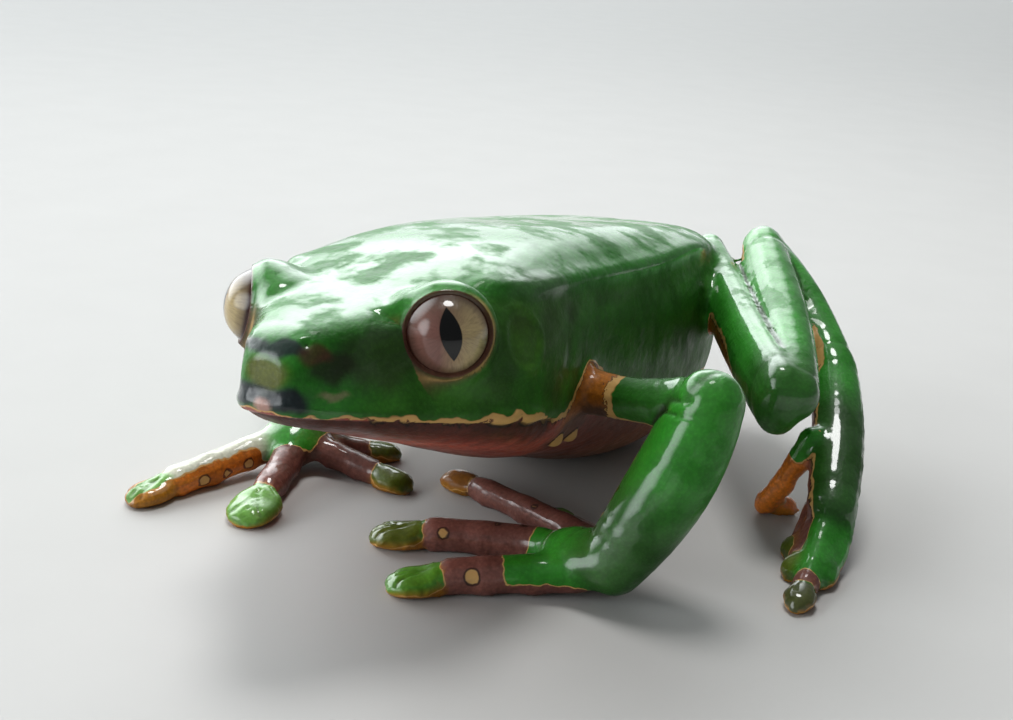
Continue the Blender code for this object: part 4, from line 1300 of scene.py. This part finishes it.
def studio_world(strength):
    """An even glow all round with brighter soft panels, each a smooth step of the angle
    between the direction looked at and the panel's own."""
    world = bpy.data.worlds.new("studio")
    world.use_nodes = True
    nodes, links = world.node_tree.nodes, world.node_tree.links
    looked_at = nodes.new("ShaderNodeTexCoord").outputs["Generated"]
    total = None
    for direction, inner, outer, brightness in SKY_PANELS:
        dot = nodes.new("ShaderNodeVectorMath")
        dot.operation = "DOT_PRODUCT"
        links.new(looked_at, dot.inputs[0])
        dot.inputs[1].default_value = Vector(direction).normalized()
        fall = nodes.new("ShaderNodeMapRange")
        fall.interpolation_type = "SMOOTHSTEP"
        links.new(dot.outputs["Value"], fall.inputs["Value"])
        fall.inputs["From Min"].default_value = cos(radians(outer))
        fall.inputs["From Max"].default_value = cos(radians(inner))
        fall.inputs["To Max"].default_value = brightness * strength
        added = nodes.new("ShaderNodeMath")
        links.new(fall.outputs["Result"], added.inputs[0])
        added.inputs[1].default_value = SKY_BASE * strength
        if total is not None:
            links.new(total, added.inputs[1])
        total = added.outputs[0]
    glow = nodes["Background"]
    glow.inputs["Color"].default_value = rgba(SKY_COLOUR)
    links.new(total, glow.inputs["Strength"])
    return world


# ---- Settings ---------------------------------------------------------------------------
def colour_property(name, description, default):
    """A colour that a user can change."""
    return bpy.props.FloatVectorProperty(name=name, description=description, subtype="COLOR",
                                         size=3, min=0.0, max=1.0, default=default)


class FrogSkinSettings(bpy.types.PropertyGroup):
    face_size: bpy.props.FloatProperty(
        name="Face Size", description="Side of the skin's faces away from the head",
        default=VOXEL * MM, min=0.0005, max=0.003, unit="LENGTH", precision=5)
    granules: bpy.props.FloatProperty(
        name="Granule Depth", description="Depth of the fine granules and wrinkles",
        default=0.12 * MM, min=0.0, max=0.001, unit="LENGTH", precision=5)
    wetness: bpy.props.FloatProperty(
        name="Wetness", description="Strength of the clear film over the skin",
        default=1.0, min=0.0, max=1.0, subtype="FACTOR")


class FrogEyeSettings(bpy.types.PropertyGroup):
    # the two iris colours are painted shade on the pinker side and painted light on the paler side
    right: colour_property("Right Iris", "Iris colour towards the animal's right",
                           (0.20, 0.088, 0.070))
    left: colour_property("Left Iris", "Iris colour towards the animal's left",
                          (0.50, 0.38, 0.19))
    pupil_height: bpy.props.FloatProperty(
        name="Pupil Height", description="Height of the upright pupil",
        default=5.8 * MM, min=0.001, max=0.008, unit="LENGTH", precision=4)
    pupil_width: bpy.props.FloatProperty(
        name="Pupil Width", description="Width of the upright pupil at its middle",
        default=2.4 * MM, min=0.0, max=0.008, unit="LENGTH", precision=4)


class FrogStageSettings(bpy.types.PropertyGroup):
    floor: colour_property("Floor", "Colour of the plain floor", (0.50, 0.49, 0.475))
    floor_radius: bpy.props.FloatProperty(
        name="Floor Radius", description="Reach of the round floor",
        default=6.0, min=1.0, unit="LENGTH")
    light: bpy.props.FloatProperty(
        name="Light", description="Strength of lamp and studio walls together",
        default=1.0, min=0.0, subtype="FACTOR")
    distance: bpy.props.FloatProperty(
        name="Camera Distance", description="From the camera to the point it looks at",
        default=0.1669, min=0.05, unit="LENGTH", precision=4)
    lens: bpy.props.FloatProperty(
        name="Lens", description="Focal length of the camera", default=46.2, min=10.0,
        unit="CAMERA")


# ---- Operators --------------------------------------------------------------------------
class FROG_OT_skin(bpy.types.Operator):
    """Put one moist skin over head, trunk, limbs and digits"""
    bl_idname = "frog.skin"
    bl_label = "Skin"

    def execute(self, context):
        settings = context.scene.frog_skin
        mesh = build_skin_mesh(all_limbs(), settings.face_size / MM)
        piece("skin", mesh, skin_material(settings), FLESH)
        return {"FINISHED"}


class FROG_OT_eyes(bpy.types.Operator):
    """Set both eyeballs behind their lids"""
    bl_idname = "frog.eyes"
    bl_label = "Eyes"

    def execute(self, context):
        material = eye_material(context.scene.frog_eyes)
        for side in SIGN:
            piece(f"eyeball_{side}", build_eye_mesh(side), material, [f"eye_{side}"])
        return {"FINISHED"}


class FROG_OT_stage(bpy.types.Operator):
    """Lay the floor, light the studio and set the camera"""
    bl_idname = "frog.stage"
    bl_label = "Stage"

    def execute(self, context):
        scene = context.scene
        settings = scene.frog_stage
        mesh = build_floor_mesh(settings.floor_radius)
        mesh.materials.append(floor_material(settings.floor))
        floor = bpy.data.objects.new("floor", mesh)
        scene.collection.objects.link(floor)
        add_lamp(LAMP_WATTS * settings.light)
        scene.world = studio_world(settings.light)
        scene.view_settings.view_transform = "Standard"
        add_camera(settings.distance, settings.lens)
        return {"FINISHED"}


class FROG_PT_sidebar(bpy.types.Panel):
    bl_idname = "FROG_PT_sidebar"
    bl_label = "Monkey Frog"
    bl_space_type = "VIEW_3D"
    bl_region_type = "UI"
    bl_category = "Frog"

    def draw(self, context):
        for operator, group in ((FROG_OT_skin, "frog_skin"), (FROG_OT_eyes, "frog_eyes"),
                                (FROG_OT_stage, "frog_stage")):
            box = self.layout.box()
            settings = getattr(context.scene, group)
            for key in settings.__annotations__:
                box.prop(settings, key)
            box.operator(operator.bl_idname)


GROUPS = {"frog_skin": FrogSkinSettings, "frog_eyes": FrogEyeSettings,
          "frog_stage": FrogStageSettings}
CLASSES = (*GROUPS.values(), FROG_OT_skin, FROG_OT_eyes, FROG_OT_stage, FROG_PT_sidebar)


def register():
    for cls in CLASSES:
        bpy.utils.register_class(cls)
    for name, group in GROUPS.items():
        setattr(bpy.types.Scene, name, bpy.props.PointerProperty(type=group))


def unregister():
    for name in GROUPS:
        delattr(bpy.types.Scene, name)
    for cls in reversed(CLASSES):
        bpy.utils.unregister_class(cls)


def main():
    register()
    bpy.ops.frog.skin()
    bpy.ops.frog.eyes()
    bpy.ops.frog.stage()


if __name__ == "__main__":
    main()
